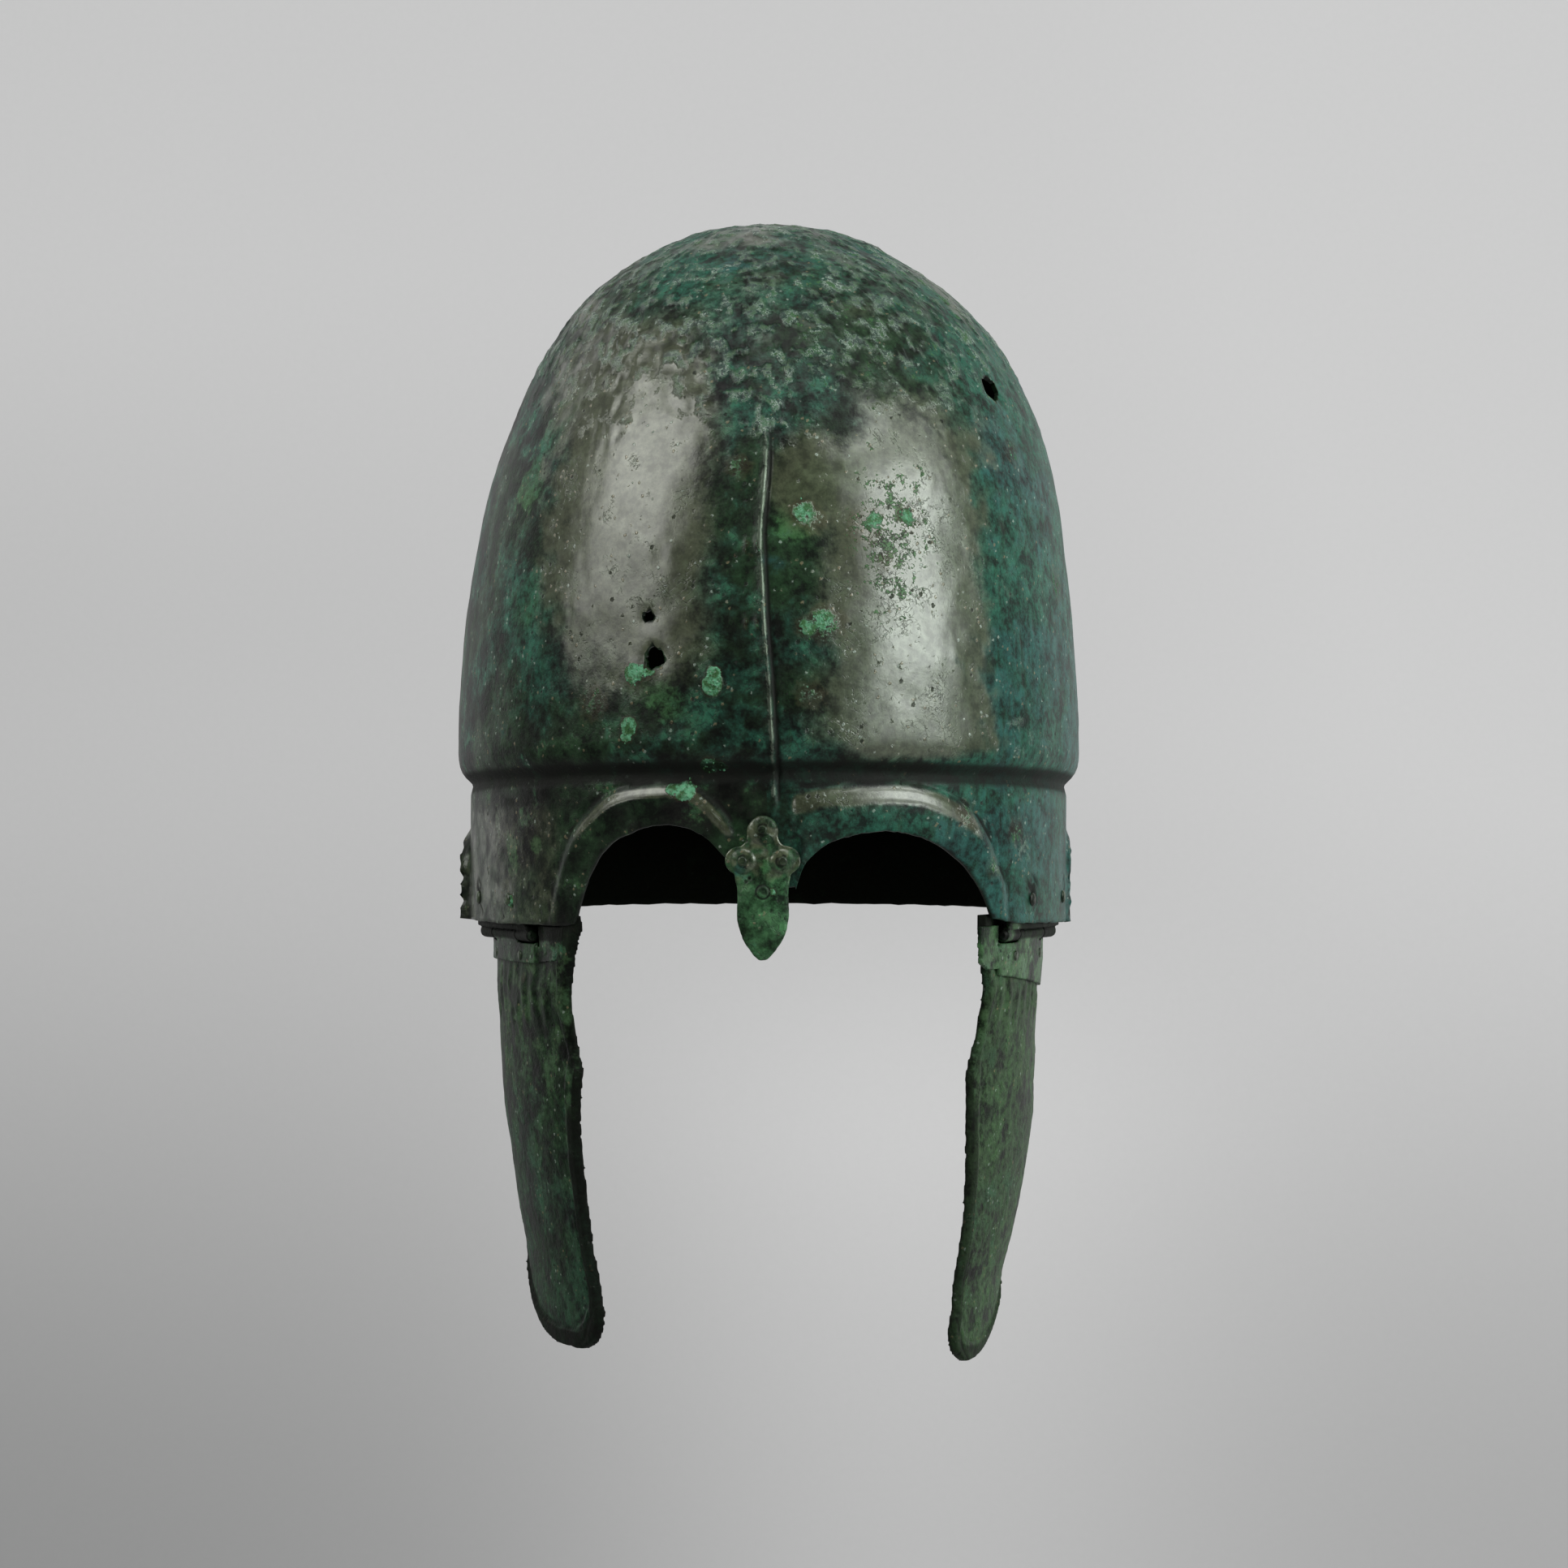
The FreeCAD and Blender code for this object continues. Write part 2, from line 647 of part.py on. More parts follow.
def cheek_slab(side, inner, outer):
    """The sheet between two distances out from its outer face, before it is cut out."""
    profiles = []
    for share in CHEEK_LEVEL_SHARES:
        drop = share * size(f"{side}_cheek_length")
        centre = CHEEK_CENTRE - HINGE_OUT * cheek_inset(side, drop)
        centre.z = CHEEK_TOP - drop
        margin = size("cheek_side_margin")
        rear = math.asin((CHEEK_DEPTH["rear"] + margin - centre.y) / CHEEK_RADIUS)
        front = math.asin((CHEEK_DEPTH[side] - margin - centre.y) / CHEEK_RADIUS)
        lines = []
        for radius in (CHEEK_RADIUS + outer, CHEEK_RADIUS + inner):
            circle = Part.Circle(centre, Vector(0, 0, 1), radius)
            lines.append(Part.Arc(circle, front, rear).toShape())
        ends = [
            Part.makeLine(lines[0].Vertexes[i].Point, lines[1].Vertexes[i].Point) for i in (0, 1)
        ]
        profiles.append(Part.Wire([lines[0], ends[1], lines[1], ends[0]]))
    return Part.makeLoft(profiles, True)


def cheek_place(side, depth, drop, out):
    """A point at a distance out from the sheet's outer face, and the way out there."""
    inset = cheek_inset(side, drop)
    centre = CHEEK_CENTRE - HINGE_OUT * inset
    reach = math.sqrt(CHEEK_RADIUS**2 - (depth - centre.y) ** 2)
    way = Vector(reach, depth - centre.y, 0).normalize()
    step = size("cheek_wall")
    slope = (cheek_inset(side, drop + step) - inset) / step
    way = (way - Vector(0, 0, slope)).normalize()
    return Vector(centre.x + reach, depth, CHEEK_TOP - drop) + way * out, way


def cheek_rivet_place(side, end):
    """Where the head of a cheekpiece's rivet rests on the lower leaf."""
    drop = size("cheek_rivet_drop") - size("knuckle_radius") - size("cheek_top_gap")
    out = size("seat_gap") + size("leaf_thickness")
    inwards = -1 if end == "rear" else 1
    depth = HINGE_DEPTH[end] + inwards * size("cheek_rivet_setback")
    return cheek_place(side, depth, drop, out)


def cheek_edges(side):
    """The cheekpiece's outline in side view."""
    breadth = CHEEK_DEPTH["rear"] - CHEEK_DEPTH[side]
    length = size(f"{side}_cheek_length")

    def place(point):
        return Vector(0, CHEEK_DEPTH["rear"] - point[0] * breadth, CHEEK_TOP - point[1] * length)

    corner = (CHEEK_FRONT_SHARE, 0.0)
    foot = Vector(0, HINGE_DEPTH["front"] - size("horn_gap"), CHEEK_TOP)
    run = place((1.0, 0.0)) - foot
    rise = Vector(0, 0, size("horn_rise"))
    horn = [foot + run * forward + rise * up for forward, up in HORN_SHARES]
    top = polygon_edges([place((0.0, 0.0))] + horn + [place(corner)])
    return arcs(corner, CHEEK_SHARES, place) + top


def cheekpiece_shape(side):
    """A cheekpiece: one curved sheet with a raised rim along its front and its foot."""
    outline = side_prism(cheek_edges(side))
    sheet_form = outline.common(cheek_slab(side, -size("cheek_wall"), 0))
    inner_outline = outline.copy()
    inner_outline.translate(Vector(0, size("rim_width"), size("rim_foot_width")))
    rim = outline.cut(inner_outline).common(cheek_slab(side, -size("cheek_wall"), size("rim_rise")))
    shape = sheet_form.fuse(rim)
    shape = shape.cut([rivet_hole(cheek_rivet_place(side, end)) for end in ("rear", "front")])
    return on_side(side, shape)


def lower_leaf_shape(side):
    """The cheekpiece's leaf: outside its top, rolled into the middle knuckle."""
    rear = HINGE_DEPTH["rear"]
    front = HINGE_DEPTH["front"]
    leaf = side_prism(polygon_edges([
        Vector(0, rear, HINGE_HEIGHT),
        Vector(0, front, HINGE_HEIGHT),
        Vector(0, front, HINGE_HEIGHT - size(f"{side}_leaf_front_drop")),
        Vector(0, rear, HINGE_HEIGHT - size(f"{side}_leaf_rear_drop")),
        Vector(0, rear, HINGE_HEIGHT),
    ]))
    gap = size("seat_gap")
    leaf = leaf.common(cheek_slab(side, gap, gap + size("leaf_thickness")))
    room = size("knuckle_radius") + size("cheek_top_gap")
    reach = MIDDLE_START + size("overrun")
    leaf = leaf.cut([
        barrel(room, -size("overrun"), reach),
        barrel(room, HINGE_LENGTH - MIDDLE_START, reach),
    ])
    leaf = leaf.fuse(barrel(size("knuckle_radius"), MIDDLE_START, MIDDLE_LENGTH))
    leaf = leaf.cut([hinge_bore()] + [
        rivet_hole(cheek_rivet_place(side, end)) for end in ("rear", "front")
    ])
    return on_side(side, leaf)


def pin_shape():
    """A hinge pin with both ends hammered over the knuckles."""
    lift = size("seat_lift")
    pin = barrel(size("pin_radius"), -lift, HINGE_LENGTH + 2 * lift)
    for face, way in ((HINGE_FRONT, -HINGE_WAY), (HINGE_REAR, HINGE_WAY)):
        pin = pin.fuse(Part.makeCone(
            size("pin_head_radius"), size("pin_radius"), size("pin_head_rise"), face + way * lift, way
        ))
    return pin


def add_shape(label, shape):
    """A sub-part whose shape is worked out above, which must be one solid."""
    if len(shape.Solids) != 1:
        raise RuntimeError(f"{label} has {len(shape.Solids)} solids")
    item = document.addObject("Part::Feature", label)
    item.Shape = shape.Solids[0]
    item.Placement = Placement()
    return item


def add_turned(label, head, shank, grip, tail, place):
    """A rivet turned about its own axis, its head's underside at its place.

    Head and tail are a radius and a rise each, and every measure is a term."""
    body = document.addObject("PartDesign::Body", label)
    sketch = body.newObject("Sketcher::SketchObject", f"{label}_profile")
    plane = [item for item in body.Origin.OriginFeatures if item.Role == "XZ_Plane"]
    sketch.AttachmentSupport = [(plane[0], "")]
    sketch.MapMode = "FlatFace"
    (head_radius, head_rise), (tail_radius, tail_rise) = [
        (radius[1], rise[1]) for radius, rise in (head, tail)
    ]
    brim_share, slope_share = HEAD_SHARES
    corners = [
        Vector(0, head_rise, 0),
        Vector(brim_share * head_radius, slope_share * head_rise, 0),
        Vector(head_radius, 0, 0),
        Vector(shank[1], 0, 0),
        Vector(shank[1], -grip[1], 0),
        Vector(tail_radius, -grip[1], 0),
        Vector(brim_share * tail_radius, -grip[1] - slope_share * tail_rise, 0),
        Vector(0, -grip[1] - tail_rise, 0),
    ]
    count = len(corners)
    lines = range(count)
    for line in lines:
        sketch.addGeometry(Part.LineSegment(corners[line], corners[(line + 1) % count]))
    top, head_slope, underside, side_line, tail_face, tail_slope, bottom, axis = lines
    start, end = 1, 2
    origin, across_axis, up_axis = (-1, 1), -1, -2
    joins = [(line, end, (line + 1) % count, start) for line in lines]
    sketch.addConstraint([Sketcher.Constraint("Coincident", *join) for join in joins])
    sketch.addConstraint([
        Sketcher.Constraint("PointOnObject", top, start, up_axis),
        Sketcher.Constraint("PointOnObject", underside, start, across_axis),
        Sketcher.Constraint("Vertical", axis),
        Sketcher.Constraint("Horizontal", underside),
        Sketcher.Constraint("Vertical", side_line),
        Sketcher.Constraint("Horizontal", tail_face),
    ])
    measures = (
        ("head_radius", "DistanceX", origin, (underside, start), head[0]),
        ("head_rise", "DistanceY", origin, (top, start), head[1]),
        ("head_brim", "DistanceX", origin, (head_slope, start), share_of(brim_share, head[0])),
        ("head_slope", "DistanceY", origin, (head_slope, start), share_of(slope_share, head[1])),
        ("shank_radius", "DistanceX", origin, (side_line, start), shank),
        ("grip", "DistanceY", (side_line, end), (side_line, start), grip),
        ("tail_radius", "DistanceX", origin, (tail_face, end), tail[0]),
        ("tail_rise", "DistanceY", (axis, start), (tail_face, end), tail[1]),
        ("tail_brim", "DistanceX", origin, (bottom, start), share_of(brim_share, tail[0])),
        ("tail_slope", "DistanceY", (bottom, start), (tail_face, end), share_of(slope_share, tail[1])),
    )
    for name, kind, first, second, (formula, value) in measures:
        index = sketch.addConstraint(Sketcher.Constraint(kind, *first, *second, value))
        sketch.renameConstraint(index, name)
        sketch.setExpression(f"Constraints.{name}", formula)
    turned = body.newObject("PartDesign::Revolution", f"{label}_turned")
    turned.Profile = sketch
    turned.ReferenceAxis = (sketch, ["V_Axis"])
    turned.Angle = 360
    point, way = place
    body.Placement = Placement(point + way * size("seat_lift"), Rotation(Vector(0, 0, 1), way))
    return body


def lifted(place, out):
    """A place moved out along its way."""
    point, way = place
    return point + way * out, way


parts = [add_shape("bowl", bowl_shape()), add_shape("nasal_guard", nasal_shape())]

tail = (term("tail_radius"), term("tail_rise"))
nasal_grip = term("nasal_thickness", "seat_gap", "sheet_wall", "seat_lift", "seat_lift")
nasal_head = (term("nasal_head_radius"), term("nasal_head_rise"))
for end, place in NASAL_PLACES.items():
    out = size("seat_gap") + size("nasal_thickness")
    parts.append(add_turned(
        f"nasal_rivet_{end}", nasal_head, term("shank_radius"), nasal_grip, tail,
        lifted(place, out),
    ))

hinge_head = (term("hinge_head_radius"), term("hinge_head_rise"))
hinge_grip = term("sheet_wall", "seat_gap", "leaf_thickness", "seat_lift", "seat_lift")
cheek_head = (term("cheek_head_radius"), term("cheek_head_rise"))
cheek_grip = term("leaf_thickness", "seat_gap", "cheek_wall", "seat_lift", "seat_lift")
for side in ("left", "right"):
    parts.append(add_shape(f"{side}_hinge_upper_leaf", upper_leaf_shape(side)))
    parts.append(add_shape(f"{side}_hinge_lower_leaf", lower_leaf_shape(side)))
    parts.append(add_shape(f"{side}_cheekpiece", cheekpiece_shape(side)))
    parts.append(add_shape(f"{side}_hinge_pin", on_side(side, pin_shape())))
    for end in ("rear", "front"):
        parts.append(add_turned(
            f"{side}_bowl_rivet_{end}", hinge_head, term("shank_radius"), hinge_grip, tail,
            HINGE_PLACES[side, end],
        ))
        place = cheek_rivet_place(side, end)
        if side == "right":
            place = flipped(place)
        parts.append(add_turned(
            f"{side}_cheek_rivet_{end}", cheek_head, term("shank_radius"), cheek_grip, tail,
            place,
        ))

document.recompute()
for item in document.Objects:
    if "Invalid" in item.State or "Error" in item.State:
        raise RuntimeError(f"{item.Label} failed: {item.State}")
for item in parts:
    if item.Shape.isNull() or not item.Shape.isValid() or len(item.Shape.Solids) != 1:
        raise RuntimeError(f"{item.Label} is not one valid solid")

os.makedirs("parts", exist_ok=True)
for item in parts:
    item.Shape.exportStep(f"parts/{item.Label}.step")
print("hinge rear", HINGE_REAR, "front", HINGE_FRONT, "way", HINGE_WAY)
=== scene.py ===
import math

import bmesh
import bpy
import numpy as np
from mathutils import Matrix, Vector, noise


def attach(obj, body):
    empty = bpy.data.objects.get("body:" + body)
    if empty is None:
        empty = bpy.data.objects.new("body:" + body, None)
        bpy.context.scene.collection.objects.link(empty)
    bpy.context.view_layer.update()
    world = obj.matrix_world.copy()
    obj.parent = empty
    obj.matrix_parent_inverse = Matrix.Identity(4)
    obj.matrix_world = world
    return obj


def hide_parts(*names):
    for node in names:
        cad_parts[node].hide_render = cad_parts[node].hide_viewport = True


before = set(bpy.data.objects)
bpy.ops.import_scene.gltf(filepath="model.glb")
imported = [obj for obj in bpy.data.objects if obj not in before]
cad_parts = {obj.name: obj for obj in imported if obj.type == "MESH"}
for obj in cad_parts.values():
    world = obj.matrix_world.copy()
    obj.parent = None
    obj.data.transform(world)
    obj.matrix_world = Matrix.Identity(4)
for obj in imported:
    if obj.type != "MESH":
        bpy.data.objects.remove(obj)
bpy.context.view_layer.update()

bl_info = {
    "name": "Chalcidian Helmet",
    "version": (1, 0, 0),
    "blender": (4, 5, 0),
    "location": "3D View > Sidebar > Helmet",
    "description": "Weathered bronze pieces and a studio for the packed helmet",
    "category": "Object",
}

# Places and sizes in the functions below are in millimetres, in the frame's own axes: the
# front faces -Y, +Z is up and +X is the wearer's left. MM turns them into scene units.
MM = 0.001

# Bowl: half width, reaches and heights of its outer face
SHEET = 1.6
HALF_WIDTH = 97.2
FRONT_REACH = 115.9
BACK_REACH = 121.0
BACK_TUCK = 0.03
CROWN = 1.6
SHOULDER = -164.4
TILT = math.radians(2.3)
WALL_STEP = 3.9
WALL_SIDE = HALF_WIDTH - WALL_STEP
WALL_FRONT = FRONT_REACH - WALL_STEP
WALL_BACK = BACK_REACH * (1 - BACK_TUCK) - WALL_STEP
WALL_TOP = -174.4
WALL_HEIGHT = 42.0
EDGE = WALL_TOP - WALL_HEIGHT
NAPE_INSET = 5.0
GUARD_FLARE = 7.0
STUB_BOTTOM = -203.4

# Crown to shoulder: depth and half width, as shares of the full ones
DOME_SHARES = (
    (0.0, 0.0), (0.0015, 0.071), (0.006, 0.142), (0.015, 0.218), (0.03, 0.304),
    (0.06, 0.401), (0.108, 0.529), (0.214, 0.703), (0.336, 0.816), (0.488, 0.905),
    (0.67, 0.960), (0.851, 0.991), (1.0, 1.0),
)
# Below the shoulder the sheet rolls under: drop and inset of each row
ROLL = (
    (2.2, 0.1), (4.4, 0.45), (6.2, 1.2), (7.7, 2.3), (8.8, 3.5), (9.7, 4.35),
    (10.6, 4.6), (11.8, 4.3), (13.2, 3.95),
)
# Depth down the wall, then the shares of the nape's inset and of the guard's flare
WALL_SHARES = (
    (0.0, 0.0, 0.0), (0.2, 0.7, 0.0), (0.35, 0.92, 0.0), (0.7, 0.8, 0.25),
    (1.0, 0.6, 1.0), (1.5, 0.6, 1.2),
)

# Eye openings in front view: inner edge, width and height, then the arch in shares
EYES = {
    "right": (8.5, 48.8, 31.0),
    "left": (7.2, 60.1, 29.0),
}
EYE_SHARES = {
    "right": (
        (0.0, 0.24), (0.02, 0.52), (0.09, 0.71), (0.25, 0.93), (0.40, 1.0),
        (0.60, 0.95), (0.78, 0.80), (0.91, 0.50), (1.0, 0.05),
    ),
    "left": (
        (0.0, 0.40), (0.05, 0.66), (0.19, 0.89), (0.40, 1.0), (0.58, 0.97),
        (0.75, 0.82), (0.88, 0.58), (0.96, 0.32), (1.0, 0.10),
    ),
}
# Lower edge of each temple in side view: depth and height, from the eye to the ear
TEMPLES = {
    "right": ((-86.5, -215.4), (-67.0, -215.5), (-12.0, -215.5)),
    "left": ((-77.6, -213.4), (-67.0, -215.2), (-12.0, -216.4)),
}
GUARD_EDGE = -214.2
EAR_FRONT, EAR_BACK, EAR_SPRING = -12.0, 30.0, -206.4
EAR_REACH = {"right": 3.4, "left": 1.7}

# Outer line of the brow over each eye in front view, from the temple to the nose
BROW_LINES = {
    "right": (
        (-65.9, -224.0), (-65.6, -215.5), (-61.1, -195.2), (-57.0, -186.1), (-51.8, -180.1),
        (-45.5, -175.3), (-36.5, -173.2), (-28.6, -172.9), (-21.0, -173.9), (-14.2, -179.1),
        (-9.9, -184.5), (-4.0, -191.0), (-4.0, -224.0),
    ),
    "left": (
        (71.5, -212.0), (71.1, -203.6), (68.8, -197.8), (67.0, -192.2), (63.9, -186.1),
        (58.9, -179.9), (52.7, -176.0), (44.9, -173.4), (37.2, -172.5), (26.8, -172.7),
        (14.5, -173.9), (7.2, -175.3), (3.0, -180.0), (3.0, -224.0), (71.5, -224.0),
    ),
}
# Rise of a brow by the distance in from its line, and by the distance from the eye's edge
BROW_RISE = {
    "right": (
        ((0.0, -0.30), (0.5, -0.10), (1.2, 0.30), (3.4, 1.35), (4.6, 1.55), (20.0, 1.55)),
        ((0.0, 0.15), (0.8, 0.35), (3.0, 0.60), (6.5, 1.20), (8.5, 1.55), (30.0, 1.6)),
    ),
    "left": (
        ((0.0, -0.30), (0.5, -0.05), (1.4, 0.45), (3.4, 1.25), (5.4, 1.6), (20.0, 1.6)),
        ((0.0, 0.20), (0.8, 0.45), (3.0, 0.95), (6.0, 1.45), (8.5, 1.65), (30.0, 1.7)),
    ),
}
# Points before and after the curve of a brow's line, and place and width of the brow's crest
BROW_STRAIGHTS = {"right": (1, 2), "left": (0, 3)}
BROW_CRESTS = {"right": (3.4, 1.4), "left": (4.4, 2.6)}
# The keel's line in front view: height and place across, and its rise at each height
KEEL_LINE = (
    (-60.0, -0.6), (-81.0, -0.6), (-101.0, -2.2), (-128.0, -1.0), (-147.0, 0.6),
    (-168.0, 1.6), (-182.0, 2.0),
)
KEEL_RISES = (
    (-40.0, 0.0), (-62.0, 0.25), (-84.0, 1.2), (-105.0, 1.6), (-160.0, 1.5), (-168.0, 1.2),
    (-176.0, 0.9), (-184.0, 0.0),
)

# Columns on each stretch of half the lower edge: stub, eye, temple, ear and guard
RIM_COUNTS = (14, 66, 50, 44, 40)
EYE_COLUMNS, EAR_COLUMNS = slice(14, 82), slice(130, 177)
# Weights of angle and height where columns are spaced along the edge
EDGE_METRIC = np.array((100.0, 1.0))
# Rows of the bowl's grid down to the shoulder and down the wall; the plain inner face takes
# only every fifth of the first and every third of the others
DOME_ROWS, WALL_ROWS = 121, 36
DOME_STRIDE, WALL_STRIDE = 5, 3

# Nasal plate in front view: its middle, its lobes with their radius, its ring and its prick
NASAL_CENTRE = -1.3
NASAL_LOBES = ((-1.3, -187.0, 4.2), (-6.9, -196.0, 3.6), (4.3, -196.0, 3.6))
NASAL_RING, NASAL_PRICK = (-1.3, -204.9), (-5.2, -200.9)

# Heights and depths of wear on the bowl, on the cheekpieces and on the nasal plate
CROWN_LEAN, CROWN_FLATTENING, CROWN_PITS = 2.2, 0.55, 0.5
MINT_RISE, LUMP_RISE, HOLE_DISH, CRACK_DEPTH = 0.45, 1.3, 0.35, 0.7
FLUTE_PITCH, FLUTE_DEPTH, SEAM_DEPTH = 6.4, 0.26, 0.22
NASAL_SWELL, PRICK_DEPTH = 0.9, 0.8
# Grid that the worn copies of frame nodes are rebuilt on
CHEEK_VOXEL, LEAF_VOXEL, NASAL_VOXEL = 0.62, 0.36, 0.34

# Corrosion holes right through the bowl: centre and size
HOLES = (
    ((-34.8, -105.7, -125.1), 1.7), ((-32.8, -108.0, -137.0), 3.2), ((66.0, -53.3, -54.4), 4.1),
)
TEMPLE_STAIN = (-77.3, -62.8, -208.7)
CROWN_LUMP = (31.4, -24.3, -7.5)

# Spots of mint green crust: centre and radius
MINT_SPOTS = (
    ((-16.0, -113.7, -145.1), 3.0), ((-15.4, -113.7, -141.9), 2.2),
    ((-38.8, -105.4, -141.6), 3.0), ((-34.5, -107.4, -140.3), 2.3),
    ((-40.2, -105.4, -157.0), 2.6), ((-41.0, -104.8, -160.0), 1.8),
    ((-23.6, -108.3, -175.8), 3.0), ((-27.5, -107.3, -175.2), 1.8),
    ((-16.5, -110.2, -167.6), 3.0), ((-13.0, -111.0, -168.2), 1.8), (TEMPLE_STAIN, 1.8),
)
# Ragged places where the mint crust only speckles the surface, then the brighter ones
MINT_CLUSTERS = (
    ((-8.4, -105.3, -81.5), 4.5), ((12.9, -108.0, -97.0), 4.5), ((28.2, -104.0, -99.0), 6.0),
    ((41.4, -98.0, -96.0), 4.5), ((17.5, -112.0, -127.7), 6.5), ((11.0, -112.5, -128.5), 4.0),
    ((87.6, -40.7, -113.2), 6.0), ((71.9, -57.6, -74.4), 5.0), ((33.0, -101.0, -110.0), 5.0),
    ((56.0, -80.0, -88.0), 4.0), ((12.0, -113.0, -148.0), 5.0), ((-50.0, -97.0, -150.0), 6.0),
    ((58.0, -88.0, -183.0), 5.0), ((66.0, -79.0, -198.0), 4.0), ((74.0, -68.0, -188.0), 5.0),
)
BRIGHT_CLUSTERS = (
    ((10.5, -108.5, -95.0), 4.0), ((16.0, -111.0, -126.5), 4.5), ((11.0, -112.0, -128.5), 3.5),
    ((31.0, -103.0, -97.0), 3.5), ((41.0, -98.5, -95.5), 3.0),
)
# Blotches of brighter green
LEAF_BLOTCHES = (
    ((8.1, -108.7, -97.0), 6.0), ((14.0, -106.0, -88.0), 9.0), ((22.0, -102.0, -84.0), 8.0),
    ((-63.4, -66.0, -67.7), 7.0), ((-59.9, -65.0, -57.9), 6.0), ((-76.4, -64.2, -197.6), 3.6),
    ((-77.0, -63.4, -192.0), 3.0), ((-69.0, -75.4, -191.6), 2.6), ((-70.0, -70.0, -120.0), 8.0),
    ((75.0, -58.0, -62.0), 9.0), ((-28.0, -106.0, -150.0), 7.0), ((-70.0, -62.0, -84.0), 8.0),
    ((84.0, -44.0, -196.0), 6.0), ((62.0, -86.0, -203.0), 6.0),
)
RING_BLISTERS = (((-4.5, -110.9, -105.6), 2.4), ((-4.5, -113.7, -127.8), 2.4))
# Cracks in the lower wall: points on its face
CRACKS = (
    ((-88.6, -35.5, -206.5), (-88.2, -36.4, -210.0), (-87.3, -38.8, -212.0),
     (-87.0, -39.6, -215.6)),
    ((-64.7, -81.9, -209.7), (-65.2, -81.2, -212.5), (-65.8, -80.6, -215.6)),
    (TEMPLE_STAIN, (-76.4, -64.6, -211.6)),
    ((79.7, -58.3, -205.4), (80.6, -56.4, -209.5)),
)
CROWN_CRUSTS = (
    ((3.4, -101.0, -68.0), 9.0), ((-3.7, -93.0, -51.0), 11.0), ((13.0, -85.0, -40.5), 12.0),
    ((8.0, -60.0, -16.0), 16.0), ((30.0, -48.0, -14.0), 14.0), ((-18.0, -52.0, -14.0), 16.0),
    ((-22.0, -84.0, -42.0), 9.0), (CROWN_LUMP, 3.2),
)
STAINS = (
    ((-88.7, -34.8, -206.5), 4.2), ((79.7, -58.3, -205.4), 4.5), ((91.5, -22.1, -204.3), 3.0),
)
# Spots where pale crust flecks are painted as glints: painted highlights.
GLINT_SPOTS = (
    ((60.0, -86.0, -184.0), 9.0), ((66.0, -79.0, -200.0), 6.0), ((76.0, -64.0, -190.0), 8.0),
    ((72.0, -72.0, -160.0), 9.0),
)

# Cheekpieces and hinges in plan and in side view
HINGE_FRONT, HINGE_REAR = (70.3647, -67.0), (87.2453, -21.0)
CHEEK_TOP = -221.5
CHEEK_LENGTH = {"right": 121.0, "left": 126.0}
CHEEK_REAR_POINT, CHEEK_FRONT_POINT = (84.4, -14.0), (53.9, -86.4)
CHEEK_BOW = 7.0
CHEEK_LEAN, CHEEK_TIP_TURN = 7.6, 5.3
CHEEK_SHEET = 1.5
SIDES = {"left": 1.0, "right": -1.0}
SLOTS = {"bowl": "bowl_bronze", "nasal": "nasal_bronze", "hinge": "hinge_bronze",
         "pin": "pin_bronze", "rivet": "rivet_bronze"}
MARKS = ("teal", "olive", "mint", "grime", "wear", "crust", "scab", "leaf", "inside")


def length_property(name, description, millimetres):
    return bpy.props.FloatProperty(
        name=name, description=description, default=millimetres * MM, unit="LENGTH")


class HelmetSizes(bpy.types.PropertyGroup):
    keel_crevice: length_property(
        "Keel crevice", "Depth of the cut along the keel's left flank", 0.7)
    dent_depth: length_property(
        "Dent depth", "Unevenness that hammering left in the sheets", 0.28)
    crown_corrosion: length_property(
        "Crown corrosion", "Height of the rough crust on the crown", 0.55)
    edge_wear: length_property(
        "Edge wear", "How far the lower edges are eaten back here and there", 0.35)
    crumb_size: length_property(
        "Crumb size", "Radius of the largest crumbs of mint crust", 0.42)
    crumb_density: bpy.props.FloatProperty(
        name="Crumb density", description="Crumbs on a square metre of full crust",
        default=500000.0)


def colour_property(name, description, value):
    return bpy.props.FloatVectorProperty(
        name=name, description=description, default=value, subtype="COLOR", size=3,
        min=0.0, max=1.0)


class HelmetColours(bpy.types.PropertyGroup):
    green_black: colour_property(
        "Green black", "Old bronze between the patches of patina", (0.011, 0.032, 0.012))
    # On the bowl the olive also greys the fields under the broad highlights: partly painted
    # highlight.
    olive: colour_property(
        "Olive", "Smooth grey olive patina", (0.074, 0.086, 0.046))
    blue: colour_property(
        "Blue", "Deep blue patina under the shoulder", (0.010, 0.048, 0.058))
    teal: colour_property(
        "Teal", "Blue green patina", (0.014, 0.088, 0.056))
    leaf_green: colour_property(
        "Leaf green", "Brighter green blotches", (0.052, 0.150, 0.050))
    mint: colour_property(
        "Mint", "Powdery light green crust", (0.165, 0.480, 0.270))
    # Pale also paints the crust's crests and the glint spots, partly as painted glints.
    pale: colour_property(
        "Pale", "Bleached flecks and crown crust", (0.400, 0.500, 0.420))
    rust: colour_property(
        "Rust", "Red brown round the crust and on the edges", (0.085, 0.035, 0.018))
    tan: colour_property(
        "Tan", "Thin earthy flecks", (0.260, 0.215, 0.120))
    # Soot paints real dark dirt in pits and scratches, and painted shade in grooves, under the
    # hinges and on the inside.
    soot: colour_property(
        "Soot", "Dark grime in pits, grooves and on the inside", (0.006, 0.007, 0.005))


